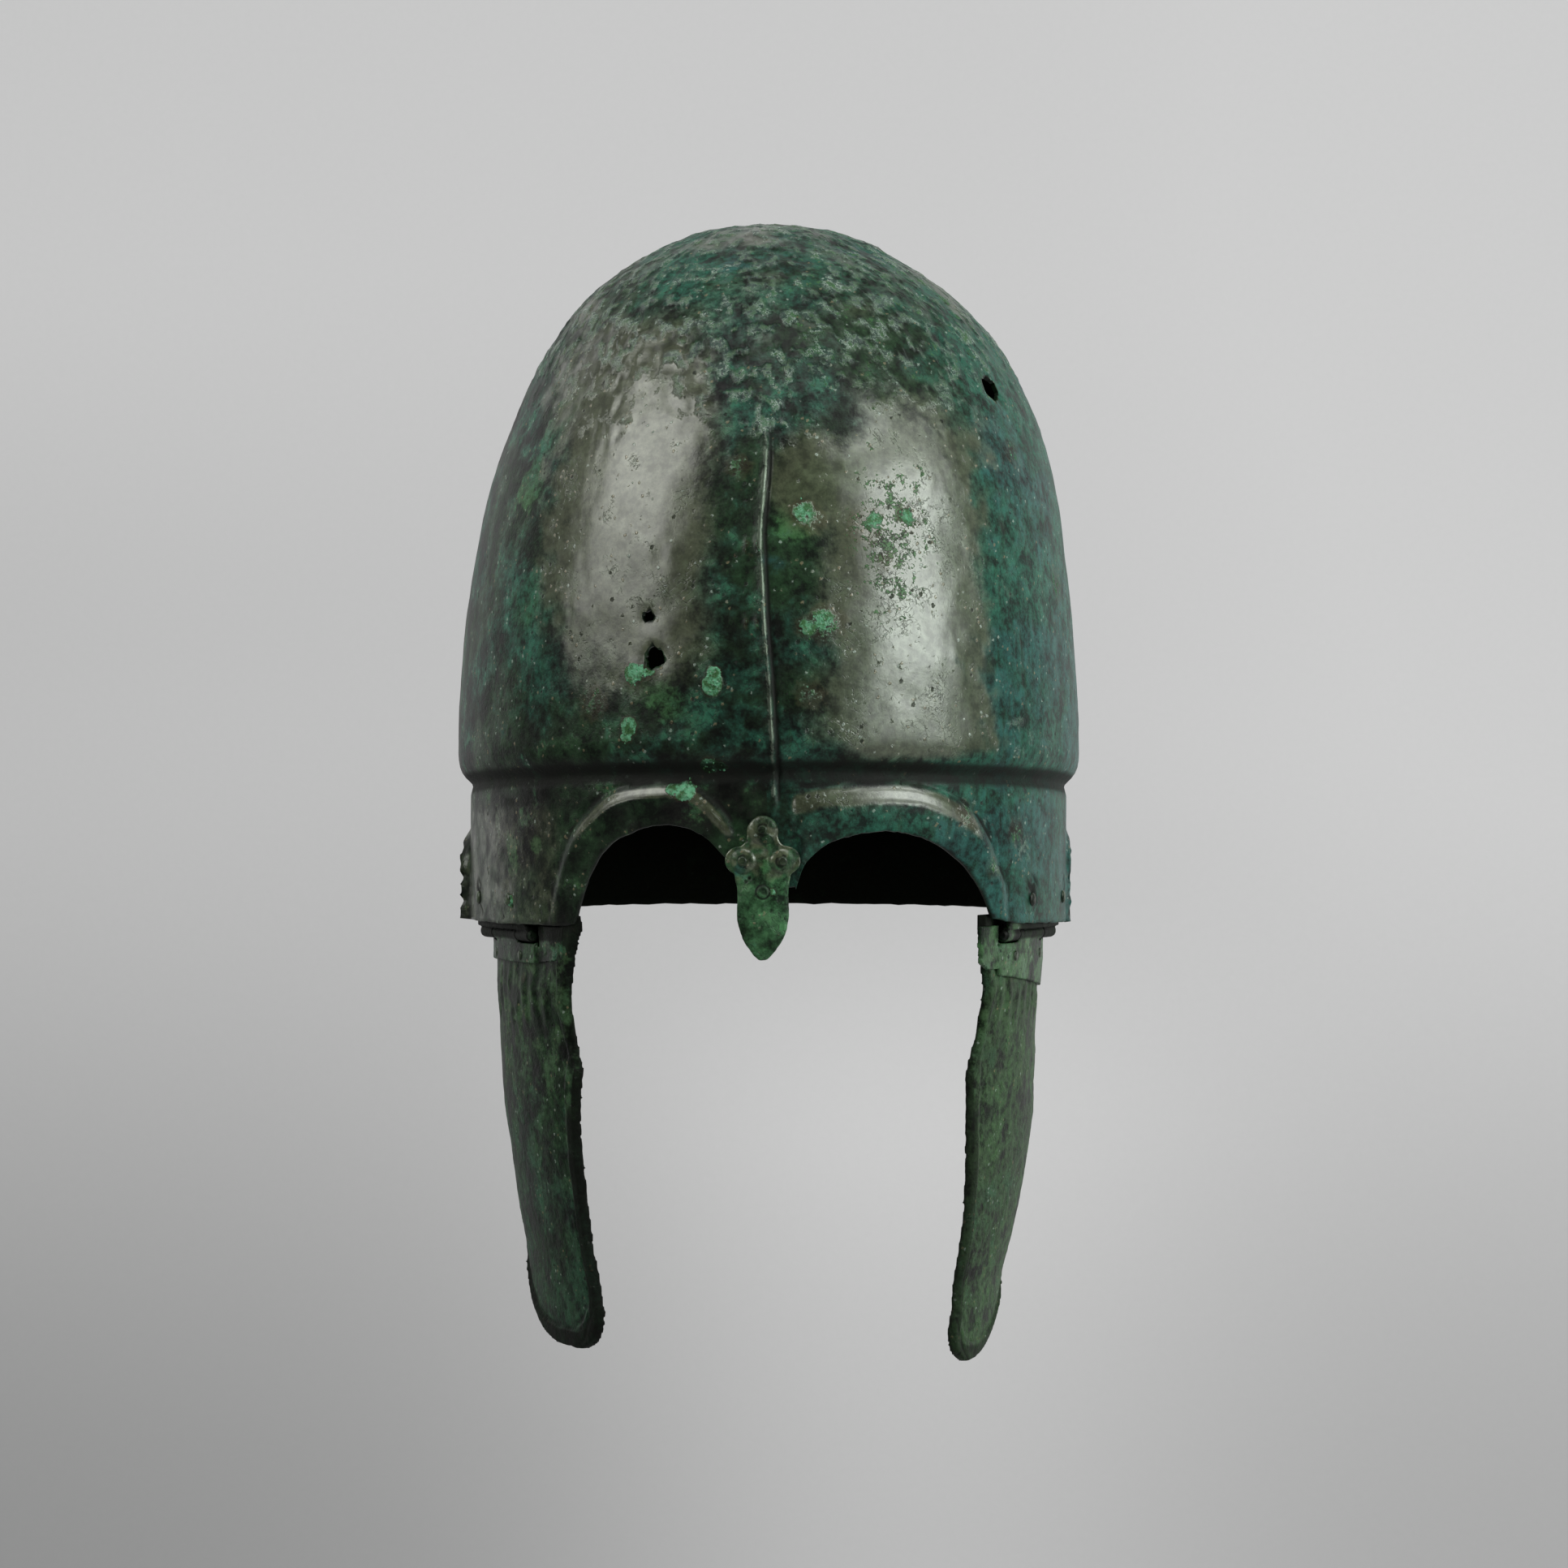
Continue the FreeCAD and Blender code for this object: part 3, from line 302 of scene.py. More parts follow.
class StudioSettings(bpy.types.PropertyGroup):
    box_radiance: bpy.props.FloatProperty(
        name="Box light", description="Brightness of the soft boxes at the front",
        default=2.4)
    world_level: bpy.props.FloatProperty(
        name="Room light", description="Brightness of the dark room", default=0.05)
    camera_distance: bpy.props.FloatProperty(
        name="Camera distance", description="From the camera to the middle of the helmet",
        default=1.4, unit="LENGTH")
    camera_height: bpy.props.FloatProperty(
        name="Camera height", description="Height of the camera and of its aim",
        default=-0.1737, unit="LENGTH")
    camera_lens: bpy.props.FloatProperty(
        name="Lens", description="Focal length on a sensor 36 mm wide", default=102.26,
        unit="CAMERA")
    backdrop: colour_property(
        "Backdrop", "Grey paper behind the helmet", (0.560, 0.560, 0.560))


def smooth(low, high, value):
    """A soft step from 0 at low to 1 at high."""
    way = np.clip((np.asarray(value, float) - low) / (high - low), 0, 1)
    return way * way * (3 - 2 * way)


def bump(away, width):
    """A soft bump: 1 where the distance is 0, dying away past its width."""
    return np.exp(-(away / width) ** 2)


def oval(across, up, centre, width, height):
    """A soft oval bump in front view."""
    return np.exp(-((across - centre[0]) / width) ** 2 - ((up - centre[1]) / height) ** 2)


def most(first, *others):
    """The highest of several levels at each point."""
    for other in others:
        first = np.maximum(first, other)
    return first


def by_height(table, height):
    """A table's value at each height; the table runs downwards."""
    heights, values = np.array(table).T
    return np.interp(-height, -heights, values)


def spline(knots, values, at):
    """A natural cubic spline through the values, read at new places."""
    knots = np.asarray(knots, float)
    values = np.asarray(values, float)
    steps = np.diff(knots)
    count = len(knots)
    system = np.zeros((count, count))
    bends = np.zeros(values.shape)
    system[0, 0] = system[-1, -1] = 1
    for i in range(1, count - 1):
        system[i, i - 1:i + 2] = steps[i - 1], 2 * (steps[i - 1] + steps[i]), steps[i]
        bends[i] = 6 * ((values[i + 1] - values[i]) / steps[i]
                        - (values[i] - values[i - 1]) / steps[i - 1])
    curve = np.linalg.solve(system, bends)
    at = np.asarray(at, float)
    k = np.clip(np.searchsorted(knots, at) - 1, 0, count - 2)
    h = steps[k]
    a = (knots[k + 1] - at) / h
    b = (at - knots[k]) / h
    if values.ndim > 1:
        a, b, h = a[:, None], b[:, None], h[:, None]
    return (a * values[k] + b * values[k + 1]
            + ((a**3 - a) * curve[k] + (b**3 - b) * curve[k + 1]) * h * h / 6)


def lengths(points):
    """Distance along a line of points at each of them."""
    return np.concatenate([[0], np.cumsum(np.linalg.norm(np.diff(points, axis=0), axis=1))])


def resample(points, count):
    """Points spaced evenly along a line of points, without its last one."""
    length = lengths(points)
    at = np.linspace(0, length[-1], count + 1)[:-1]
    return np.stack([np.interp(at, length, values) for values in points.T], 1)


def curve_through(points, count=200):
    """A smooth line through points, as many short steps."""
    points = np.asarray(points, float)
    length = lengths(points)
    return spline(length, points, np.linspace(0, length[-1], count))


def noise_at(points, period, seed, octaves=2):
    """Smooth noise from about -1 to 1, at points in millimetres."""
    shift = Vector((seed * 17.3, seed * -9.1, seed * 5.7))
    return np.array([
        noise.fractal(Vector(point) / period + shift, 1.0, 2.0, octaves) for point in points
    ])


def line_distance(points, line):
    """Distance in a plane from each point to a line of points."""
    start = line[:-1][None]
    run = (line[1:] - line[:-1])[None]
    away = points[:, None] - start
    share = np.clip((away * run).sum(2) / np.maximum((run * run).sum(2), 1e-9), 0, 1)
    return np.linalg.norm(away - run * share[..., None], axis=2).min(1)


def inside_outline(points, outline):
    """Whether each point of a plane is inside a closed outline."""
    first = np.asarray(outline, float)
    second = np.roll(first, -1, 0)
    x, y = points[:, :1], points[:, 1:]
    crosses = (first[:, 1] > y) != (second[:, 1] > y)
    rise = np.where(np.abs(second[:, 1] - first[:, 1]) < 1e-9, 1e-9, second[:, 1] - first[:, 1])
    at = first[:, 0] + (y - first[:, 1]) * (second[:, 0] - first[:, 0]) / rise
    return (crosses & (x < at)).sum(1) % 2 == 1


def away_from(points, place):
    return np.linalg.norm(points - np.array(place), axis=1)


def spots(points, places):
    """Soft round spots: 1 at each centre, under a half past its radius."""
    level = np.zeros(len(points))
    for centre, radius in places:
        level = np.maximum(level, np.exp(-0.7 * (away_from(points, centre) / radius) ** 4))
    return level


def put_in_scene(name, data):
    """A new object in the scene."""
    piece = bpy.data.objects.new(name, data)
    bpy.context.scene.collection.objects.link(piece)
    return piece


def make_object(name, points, faces, marks=None):
    """A mesh object from points in millimetres, with its marks as attributes."""
    mesh = bpy.data.meshes.new(name)
    mesh.from_pydata((np.asarray(points) * MM).tolist(), [], faces)
    mesh.update()
    mesh.shade_smooth()
    piece = put_in_scene(name, mesh)
    if marks:
        set_marks(piece, marks)
    return piece


def set_marks(piece, marks):
    """Writes each mark, a value from 0 to 1 for each vertex, as an attribute."""
    count = len(piece.data.vertices)
    for name in MARKS:
        values = np.broadcast_to(np.asarray(marks.get(name, 0.0), np.float32), (count,))
        attribute = piece.data.attributes.new(name, "FLOAT", "POINT")
        attribute.data.foreach_set("value", np.clip(values, 0, 1).astype(np.float32))


def places_of(mesh):
    """A mesh's vertices in millimetres, and its normals."""
    count = len(mesh.vertices)
    points, normals = np.zeros(count * 3), np.zeros(count * 3)
    mesh.vertices.foreach_get("co", points)
    mesh.vertices.foreach_get("normal", normals)
    return points.reshape(-1, 3) / MM, normals.reshape(-1, 3)


def put_places(mesh, points):
    """Moves a mesh's vertices to points in millimetres."""
    mesh.vertices.foreach_set("co", (points * MM).ravel())
    mesh.update()


def settled(piece):
    """The piece with its modifiers worked into a plain mesh."""
    graph = bpy.context.evaluated_depsgraph_get()
    mesh = bpy.data.meshes.new_from_object(piece.evaluated_get(graph))
    piece.modifiers.clear()
    old = piece.data
    piece.data = mesh
    bpy.data.meshes.remove(old)
    return piece


def weathered_copy(source, name, voxel, added=()):
    """A finely divided copy of a frame node, with any added blocks grown into it."""
    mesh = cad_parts[source].data.copy()
    work = bmesh.new()
    work.from_mesh(mesh)
    bmesh.ops.remove_doubles(work, verts=work.verts, dist=0.001 * MM)
    for near, far in added:
        rings = [[work.verts.new(Vector(point) * MM) for point in ring] for ring in (near, far)]
        count = len(near)
        fresh = [work.faces.new(rings[0][::-1]), work.faces.new(rings[1])]
        for i in range(count):
            j = (i + 1) % count
            fresh.append(work.faces.new((rings[0][i], rings[0][j], rings[1][j], rings[1][i])))
        bmesh.ops.recalc_face_normals(work, faces=fresh)
    work.to_mesh(mesh)
    work.free()
    mesh.materials.clear()
    piece = put_in_scene(name, mesh)
    remesh = piece.modifiers.new("fine skin", "REMESH")
    remesh.mode = "VOXEL"
    remesh.voxel_size = voxel * MM
    remesh.use_smooth_shade = True
    return settled(piece)


def finish_piece(piece, body, material, slot, *nodes):
    """Gives a piece its material and body, and hides the frame nodes it stands for. The slot is not
    used.
    """
    if material:
        piece.data.materials.clear()
        piece.data.materials.append(material)
    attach(piece, body)
    if nodes:
        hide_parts(*nodes)


# Bowl: a grid of rows from crown to lower edge and columns round it


def back_reach(height):
    """The wall's reach behind the ears at a height, tucked in at the nape."""
    depth = (WALL_TOP - np.asarray(height, float)) / WALL_HEIGHT
    shares = np.array(WALL_SHARES)
    read = spline(shares[:, 0], shares[:, 1:], np.clip(np.ravel(depth), 0, 1.3))
    reach = WALL_BACK - NAPE_INSET * read[:, 0] + GUARD_FLARE * read[:, 1]
    return reach.reshape(np.shape(depth))


def angle_at(depth, height):
    """The angle round from the front of a point of the wall, by its depth."""
    if depth < 0:
        return math.acos(-depth / WALL_FRONT)
    return math.pi - math.acos(depth / float(back_reach(height)))


def wall_depth(angle, height):
    """The wall's depth at angles round from the front."""
    return -np.where(np.cos(angle) > 0, WALL_FRONT, back_reach(height)) * np.cos(angle)


def half_rim(side):
    """Angle and height of the lower edge on one side, from the nose to the nape."""
    inner, width, height = EYES[side]
    eye = curve_through([(inner + across * width, EDGE + up * height)
                         for across, up in EYE_SHARES[side]])
    eye = np.stack([np.arcsin(eye[:, 0] / WALL_SIDE), eye[:, 1]], 1)
    stub_end = (math.asin(inner / WALL_SIDE), STUB_BOTTOM)
    temple = [(angle_at(depth, EDGE), up) for depth, up in TEMPLES[side]]
    middle, radius = (EAR_FRONT + EAR_BACK) / 2, (EAR_BACK - EAR_FRONT) / 2
    arch = [(middle - radius * math.cos(turn), EAR_SPRING + radius * math.sin(turn))
            for turn in np.linspace(0, math.pi, 31)]
    ear = [(angle_at(depth, up), up)
           for depth, up in ((EAR_FRONT, TEMPLES[side][-1][1]), *arch, (EAR_BACK, GUARD_EDGE))]
    nape = (math.pi, GUARD_EDGE)
    lines = ([(0, STUB_BOTTOM), stub_end], [stub_end, *eye[1:], temple[0]], temple, ear,
             [ear[-1], nape])
    rim = [resample(np.array(line) * EDGE_METRIC, count) / EDGE_METRIC
           for line, count in zip(lines, RIM_COUNTS)]
    return np.vstack([*rim, nape])


def groove_angles(rim):
    """Where the columns cross the groove: spread out where the lower edge stands upright."""
    steps = np.maximum(np.diff(rim[:, 0]), math.radians(0.33))
    angles = np.concatenate([[0], np.cumsum(steps)])
    return angles * math.pi / angles[-1]


def bowl_columns():
    """Side, angle at the groove, angle and height at the edge, of each column."""
    columns = []
    for side, sign in SIDES.items():
        rim = half_rim(side)
        rows = np.column_stack([np.full(len(rim), sign), groove_angles(rim), rim])
        columns.append(rows if side == "left" else rows[-2:0:-1])
    return np.vstack(columns)


def bowl_grid(columns):
    """The outer face before it is worn, as rows of points."""
    side, top_angle, edge_angle, edge_height = columns.T
    sine, cosine = np.sin(top_angle), np.cos(top_angle)
    shares = np.array(DOME_SHARES)
    mirrored = np.vstack([shares[:0:-1] * (1, -1), shares])
    knots = lengths(mirrored * (CROWN - SHOULDER, HALF_WIDTH))
    knots = knots - knots[len(shares) - 1]
    rows = []
    for depth, width in spline(knots, mirrored, np.linspace(0, knots[-1], DOME_ROWS)):
        reach = np.where(cosine > 0, FRONT_REACH, BACK_REACH * (1 - BACK_TUCK * depth**4))
        y = -width * reach * cosine
        z = CROWN - (CROWN - SHOULDER) * depth - y * math.sin(TILT * depth)
        rows.append(np.stack([side * width * HALF_WIDTH * sine, y, z], 1))
    reach = np.where(cosine > 0, FRONT_REACH, BACK_REACH * (1 - BACK_TUCK))
    for drop, inset in ROLL:
        y = -(reach - inset) * cosine
        z = SHOULDER - drop - y * math.sin(TILT)
        rows.append(np.stack([side * (HALF_WIDTH - inset) * sine, y, z], 1))
    start_height = rows[-1][:, 2]
    for share in np.linspace(0, 1, WALL_ROWS + 1)[1:]:
        angle = top_angle + (edge_angle - top_angle) * smooth(0, 1, share)
        z = start_height + (edge_height - start_height) * share
        rows.append(np.stack([side * WALL_SIDE * np.sin(angle), wall_depth(angle, z), z], 1))
    return np.array(rows)


def grid_normals(grid):
    """Outward normals of a grid that closes on itself round the columns."""
    across = np.roll(grid, -1, 1) - np.roll(grid, 1, 1)
    way = np.cross(np.gradient(grid, axis=0), across)
    way = way / np.maximum(np.linalg.norm(way, axis=2, keepdims=True), 1e-9)
    if ((grid - grid.mean((0, 1))) * way).sum(2).mean() < 0:
        way = -way
    way[0] = (0, 0, 1)
    return way


def keel_place(height):
    """The keel's place across at each height."""
    return by_height(KEEL_LINE, height)


def along_wall(x):
    """Distance along the wall in plan from the middle of the front, for a place across."""
    angles = np.linspace(0, math.pi / 2, 400)
    steps = np.hypot(WALL_SIDE * np.cos(angles), WALL_FRONT * np.sin(angles))
    length = np.concatenate([[0], np.cumsum((steps[1:] + steps[:-1]) / 2 * np.diff(angles))])
    return np.sign(x) * np.interp(np.abs(x), WALL_SIDE * np.sin(angles), length)


def unrolled(x, z):
    """Places on the wall in front view, laid out flat."""
    return np.stack([along_wall(x), z], 1)


def brow_relief(points, rim):
    """Rise of the brows, and how near each point is to a brow's line and to its crest."""
    rise, line_mark, crest = np.zeros((3, len(points)))
    front = (points[:, 2] < -166) & (points[:, 1] < -30)
    flat = unrolled(points[:, 0], points[:, 2])
    for side, sign in SIDES.items():
        near = np.flatnonzero(front & (points[:, 0] * sign > -2))
        before, after = BROW_STRAIGHTS[side]
        outline = np.array(BROW_LINES[side])
        curve = curve_through(outline[before:-after], 160)
        line = unrolled(*np.vstack([outline[:before], curve]).T)
        closed = np.vstack([line, unrolled(*outline[-after:].T)])
        eye = rim[side][EYE_COLUMNS]
        eye = unrolled(sign * WALL_SIDE * np.sin(eye[:, 0]), eye[:, 1])
        to_line = line_distance(flat[near], line)
        to_eye = line_distance(flat[near], eye)
        in_band = inside_outline(flat[near], closed)
        by_line, by_eye = BROW_RISE[side]
        high = np.minimum(np.interp(to_line, *zip(*by_line)), np.interp(to_eye, *zip(*by_eye)))
        away = np.abs(points[near, 0] - NASAL_CENTRE)
        clear = smooth(9.5, 12.0, away + 2.0 * (points[near, 2] > -189))
        foot = 0.45 + 0.55 * smooth(-214, -196, points[near, 2])
        rise[near] += np.where(in_band, high * foot, -0.22 * bump(to_line, 0.7)) * clear
        line_mark[near] = most(line_mark[near], bump(to_line, 0.8) * clear)
        place, width = BROW_CRESTS[side]
        crest[near] = most(crest[near], in_band * foot * clear * bump(to_line - place, width))
    return rise, line_mark, crest


def wear_bowl(points, rim, sizes):
    """Rise of every point of the outer face over its plain form, and its marks."""
    x, y, z = points.T
    front = smooth(5, -30, y)
    off_keel = x - keel_place(z)
    keel = by_height(KEEL_RISES, z) * front
    flank = np.exp(-np.abs(off_keel) / np.where(off_keel < 0, 2.4, 1.3))
    crevice = bump(off_keel - 1.5, 0.7)
    rise = keel * flank - sizes.keel_crevice / MM * crevice * smooth(0.2, 1.0, keel)
    brow, line_mark, crest = brow_relief(points, rim)
    rise += brow

    # Dents, flatter where rivets and the nasal plate sit, and the rough crown
    broad = noise_at(points, 19.0, 1)
    small = noise_at(points, 6.5, 2)
    fine = noise_at(points, 2.6, 3, 3)
    dents = sizes.dent_depth / MM * (broad + 0.35 * small)
    seats = spots(points, [(centre, 3.5) for centre, _ in STAINS]
                  + [(TEMPLE_STAIN, 3.5), ((NASAL_CENTRE, -112, -200), 16.0)])
    rise += dents * (1 - seats) * (1 - 0.6 * smooth(-168, -174, z))
    rise -= CROWN_FLATTENING * smooth(-50, -14, z)
    rough = smooth(-88, -30, z) * smooth(60, 20, y) + 0.75 * spots(points, CROWN_CRUSTS)
    rough = np.clip(rough + 0.35 * broad, 0, 1)
    crumble = noise_at(points, 4.6, 4, 4)
    rise += sizes.crown_corrosion / MM * rough * (crumble - 0.15)
    rise -= CROWN_PITS * rough * smooth(0.32, 0.6, small)

    # Mint crust, blisters, the lump on the crown and dished rims of the holes
    mint = most(spots(points, MINT_SPOTS), 0.42 * spots(points, MINT_CLUSTERS),
                0.60 * spots(points, BRIGHT_CLUSTERS))
    rise += MINT_RISE * mint * (0.6 + 0.8 * fine)
    for centre, radius in RING_BLISTERS:
        away = away_from(points, centre)
        ring = bump(away - 0.78 * radius, 0.5)
        rise += 0.6 * ring + 0.1 * bump(away, 0.5 * radius)
        mint = most(mint, 0.52 * ring)
    rise += LUMP_RISE * bump(away_from(points, CROWN_LUMP), 2.4)
    for centre, size in HOLES:
        rise -= HOLE_DISH * bump(np.maximum(away_from(points, centre) - size, 0), 1.2)

    # Front flanges of the ears turned out, and cracks in the lower wall
    for side, sign in SIDES.items():
        near = np.flatnonzero((x * sign > 60) & (z < -182) & (y > -22) & (y < 40))
        edge = rim[side][EAR_COLUMNS]
        edge = np.stack([wall_depth(*edge.T), edge[:, 1]], 1)
        away = line_distance(points[near, 1:], edge)
        lip = (1 - smooth(0.2, 3.2, away)) * smooth(-186.5, -193.5, z[near])
        ragged = 1 - 0.75 * np.abs(noise_at(points[near], 4.2, 7, 3))
        rise[near] += EAR_REACH[side] * lip * ragged
    crack = np.zeros(len(points))
    low = np.flatnonzero((z < -200) & (y < -20))
    for line in CRACKS:
        away = line_distance(points[low] + 0.35 * fine[low, None], np.array(line))
        crack[low] = most(crack[low], bump(away, 0.42))
    rise -= CRACK_DEPTH * crack

    # Marks: olive fields under the two broad highlights, which paint them greyer as well as
    # glossier, so they are partly painted highlight; brow crests, teal, grime with painted shade,
    # wear and crust
    left_highlight_field = (smooth(-76, -50, x - 8 * broad - 5 * small) * smooth(-4, -34, x)
                  * smooth(-164, -116, z) * smooth(-14, -62, z))
    right_highlight_field = (smooth(2, 34, x) * smooth(76, 50, x + 9 * broad + 5 * small)
                   * smooth(-176, -158, z) * smooth(-38, -92, z))
    olive = 1.15 * most(left_highlight_field, right_highlight_field) * front + 0.22 * broad - 0.1 * small
    olive = np.clip(olive * smooth(-167, -160, z - y * math.sin(TILT)), 0, 1)
    patchy = np.where(x > 0, 0.72 + 0.28 * smooth(-0.6, 0.5, small + 0.7 * broad), 1.0)
    # The brow crests also get olive, which paints their highlight: partly gloss, partly painted
    # highlight.
    olive = most(olive, 1.5 * crest * smooth(-194, -182, z) * patchy,
                 0.42 * smooth(-54, -66, x) * smooth(-174, -184, z) * (1 + 0.4 * small),
                 0.50 * smooth(-64, -24, z) * (0.6 + broad),
                 0.95 * spots(points, [((15.0, -105.0, -86.0), 15.0)]))
    scab = most(0.9 * oval(x, z, (35, -102), 17, 30) * front,
                0.55 * smooth(-90, -40, z) * smooth(-10, 10, x))
    teal = (0.30 + 0.45 * smooth(38, 70, x) + 0.35 * smooth(-40, -10, z) * (x > -40)
            + 0.32 * smooth(-112, -140, z) * smooth(-168, -160, z) * smooth(12, 30, x)
            + 0.22 * oval(x, z, (-72, -125), 14, 24)
            + 0.30 * smooth(8, 30, x) * smooth(-176, -186, z)
            - 0.30 * smooth(-168, -180, z) * (x < 0)
            - 0.12 * smooth(-150, -165, z) * (x < -50))
    # Painted shade: a dark band in the groove under the shoulder, a dark line along each brow's
    # outer line and dark in the keel's crevice. The cracks, a patch on the right temple and the
    # stains are darkened as well.
    below = z - SHOULDER + y * math.sin(TILT)
    soiled = oval(x, z, (-68, -177), 15, 5) * smooth(-0.1, 0.3, small + 0.5 * fine)
    grime = most(0.95 * bump(below + 9.6, 2.2) + 0.5 * bump(below + 10.8, 3.4)
                 + 0.9 * line_mark * smooth(-0.2, 0.5, small + 0.2),
                 0.85 * crevice * smooth(0.2, 1.0, keel), crack, 0.8 * soiled,
                 0.9 * spots(points, STAINS) * smooth(-0.5, 0.3, fine))
    # Pale rubbed line along the keel's ridge and on the brow crests: worn bronze, and also a
    # painted highlight on their lit edges.
    wear = bump(off_keel + 0.3 * small, 0.75) * smooth(0.3, 1.0, keel)
    wear = most(wear * (0.55 + 0.75 * smooth(-0.4, 0.4, fine)), 0.35 * crest)
    crust = np.clip(rough * smooth(-0.35, 0.5, crumble + 0.5 * fine), 0, 1)
    # Pale flecks of crust at the glint spots: painted glints.
    speckle = smooth(-0.1, 0.5, small + 0.5 * fine)
    crust = most(crust, 0.75 * spots(points, GLINT_SPOTS) * speckle)
    return rise, {"teal": teal, "olive": olive, "mint": mint, "grime": grime, "wear": wear,
                  "crust": crust, "scab": scab, "leaf": spots(points, LEAF_BLOTCHES),
                  "inside": 0.0}


def bowl_places(sizes):
    """Points, faces and marks of the worn bowl, and the first point of its inner face."""
    grid = bowl_grid(bowl_columns())
    count = grid.shape[1]
    x, y, z = np.moveaxis(grid, 2, 0)
    x += CROWN_LEAN * bump(z + 56, 42) * smooth(-8, -35, z)
    x += keel_place(z) * bump(x, 9.0) * smooth(-40, -80, y) * smooth(-55, -75, z)
    normals = grid_normals(grid)
    rise, marks = wear_bowl(grid.reshape(-1, 3), {side: half_rim(side) for side in SIDES}, sizes)
    outer = grid + normals * rise.reshape(grid.shape[:2])[..., None]
    edge = sizes.edge_wear / MM * noise_at(outer[-1], 3.2, 9, 3)
    for back, share in enumerate((1.0, 0.7, 0.4, 0.15)):
        outer[-1 - back, :, 2] += edge * share
    outer[..., 2] = np.minimum(outer[..., 2], CROWN - 0.02)
    groove_end = DOME_ROWS + len(ROLL)
    keep = sorted({*range(0, DOME_ROWS, DOME_STRIDE), *range(DOME_ROWS, groove_end),
                   *range(len(grid) - 1, groove_end, -WALL_STRIDE)})
    inner = grid[keep] - normals[keep] * SHEET
    inner[-1, :, 2] = outer[-1, :, 2]
    down = grid[-1] - grid[-4]
    lip = (outer[-1] + inner[-1]) / 2
    lip += 0.22 * down / np.maximum(np.linalg.norm(down, axis=1, keepdims=True), 1e-9)
    points = np.vstack([outer[0, :1], outer[1:].reshape(-1, 3), lip,
                        inner[:0:-1].reshape(-1, 3), inner[0, :1]])
    last, end = len(points) - 1 - count, len(points) - 1
    around = np.arange(count)
    after = np.roll(around, -1)
    quad = np.stack([around, around + count, after + count, after], 1)
    faces = []
    for start in range(1, last, count):
        faces += (start + quad).tolist()
    for i, j in zip(around.tolist(), after.tolist()):
        faces += [[0, 1 + i, 1 + j], [end, last + j, last + i]]
    # The inner face and half the lip are marked as inside, which paints them near black: painted
    # shade.
    all_marks = {}
    for name in MARKS:
        level = np.broadcast_to(marks[name], (rise.size,)).reshape(grid.shape[:2])
        within = float(name == "inside")
        all_marks[name] = np.concatenate([
            level[0, :1], level[1:].ravel(), level[-1] * 0.5 + 0.5 * within,
            np.full((len(inner) - 1) * count + 1, within)])
    return points, faces, all_marks, len(outer) * count


def facing_out(piece):
    """Turns every face outwards, judged by the sign of the volume inside."""
    work = bmesh.new()
    work.from_mesh(piece.data)
    if work.calc_volume(signed=True) < 0:
        bmesh.ops.reverse_faces(work, faces=work.faces)
    work.to_mesh(piece.data)
    work.free()


def hole_cutter(centre, size, seed):
    """A ragged plug that runs through the sheet at a hole."""
    way = Vector((centre[0] / HALF_WIDTH**2, centre[1] / FRONT_REACH**2,
                  (centre[2] + 100) / 160**2 if centre[2] > -100 else 0.0)).normalized()
    turn = way.to_track_quat("Z", "Y").to_matrix()
    count, reach = 28, 6.0
    work = bmesh.new()
    near, far = [], []
    for ring, level in ((near, -reach), (far, reach)):
        for corner in range(count):
            angle = 2 * math.pi * corner / count
            at = Vector((math.cos(angle), math.sin(angle), seed * 3.1))
            radius = size * (1 + 0.42 * noise.noise(at * 1.3) + 0.16 * noise.noise(at * 4.1))
            local = Vector((radius * math.cos(angle), radius * math.sin(angle), level))
            ring.append(work.verts.new((Vector(centre) + turn @ local) * MM))
    for i in range(count):
        j = (i + 1) % count
        work.faces.new((near[i], near[j], far[j], far[i]))
    work.faces.new(near[::-1])
    work.faces.new(far)
    mesh = bpy.data.meshes.new("hole cutter")
    work.to_mesh(mesh)
    work.free()
    return put_in_scene("hole cutter", mesh)


def cut_holes(piece):
    """Cuts the corrosion holes right through the bowl."""
    cutters = []
    for seed, (centre, size) in enumerate(HOLES, 1):
        cutter = hole_cutter(centre, size, seed)
        cutters.append(cutter)
        cut = piece.modifiers.new("hole", "BOOLEAN")
        cut.operation = "DIFFERENCE"
        cut.solver = "EXACT"
        cut.object = cutter
    settled(piece)
    for cutter in cutters:
        bpy.data.objects.remove(cutter)


# Materials


def node(tree, kind, inputs=(), **settings):
    """A new node, its inputs given by name or number as values or as sockets to link."""
    made = tree.nodes.new(kind)
    for name, value in settings.items():
        setattr(made, name, value)
    for key, value in dict(inputs).items():
        if isinstance(value, bpy.types.NodeSocket):
            tree.links.new(value, made.inputs[key])
        else:
            made.inputs[key].default_value = value
    return made


def calc(tree, operation, *values, clamp=False):
    """The result of a math node, or of a chain of them for a long product or maximum."""
    if operation in ("MULTIPLY", "MAXIMUM") and len(values) > 2:
        values = calc(tree, operation, *values[:-1]), values[-1]
    made = node(tree, "ShaderNodeMath", enumerate(values), operation=operation)
    made.use_clamp = clamp
    return made.outputs[0]


def blend(tree, share, first, second, kind="MIX"):
    """A mix of two colours."""
    made = node(tree, "ShaderNodeMix", {0: share, 6: first, 7: second},
                data_type="RGBA", blend_type=kind)
    return made.outputs[2]


def step(tree, value, low, high):
    """A soft step from 0 at low to 1 at high."""
    made = node(tree, "ShaderNodeMapRange", {0: value, 1: low, 2: high},
                interpolation_type="SMOOTHSTEP")
    return made.outputs[0]


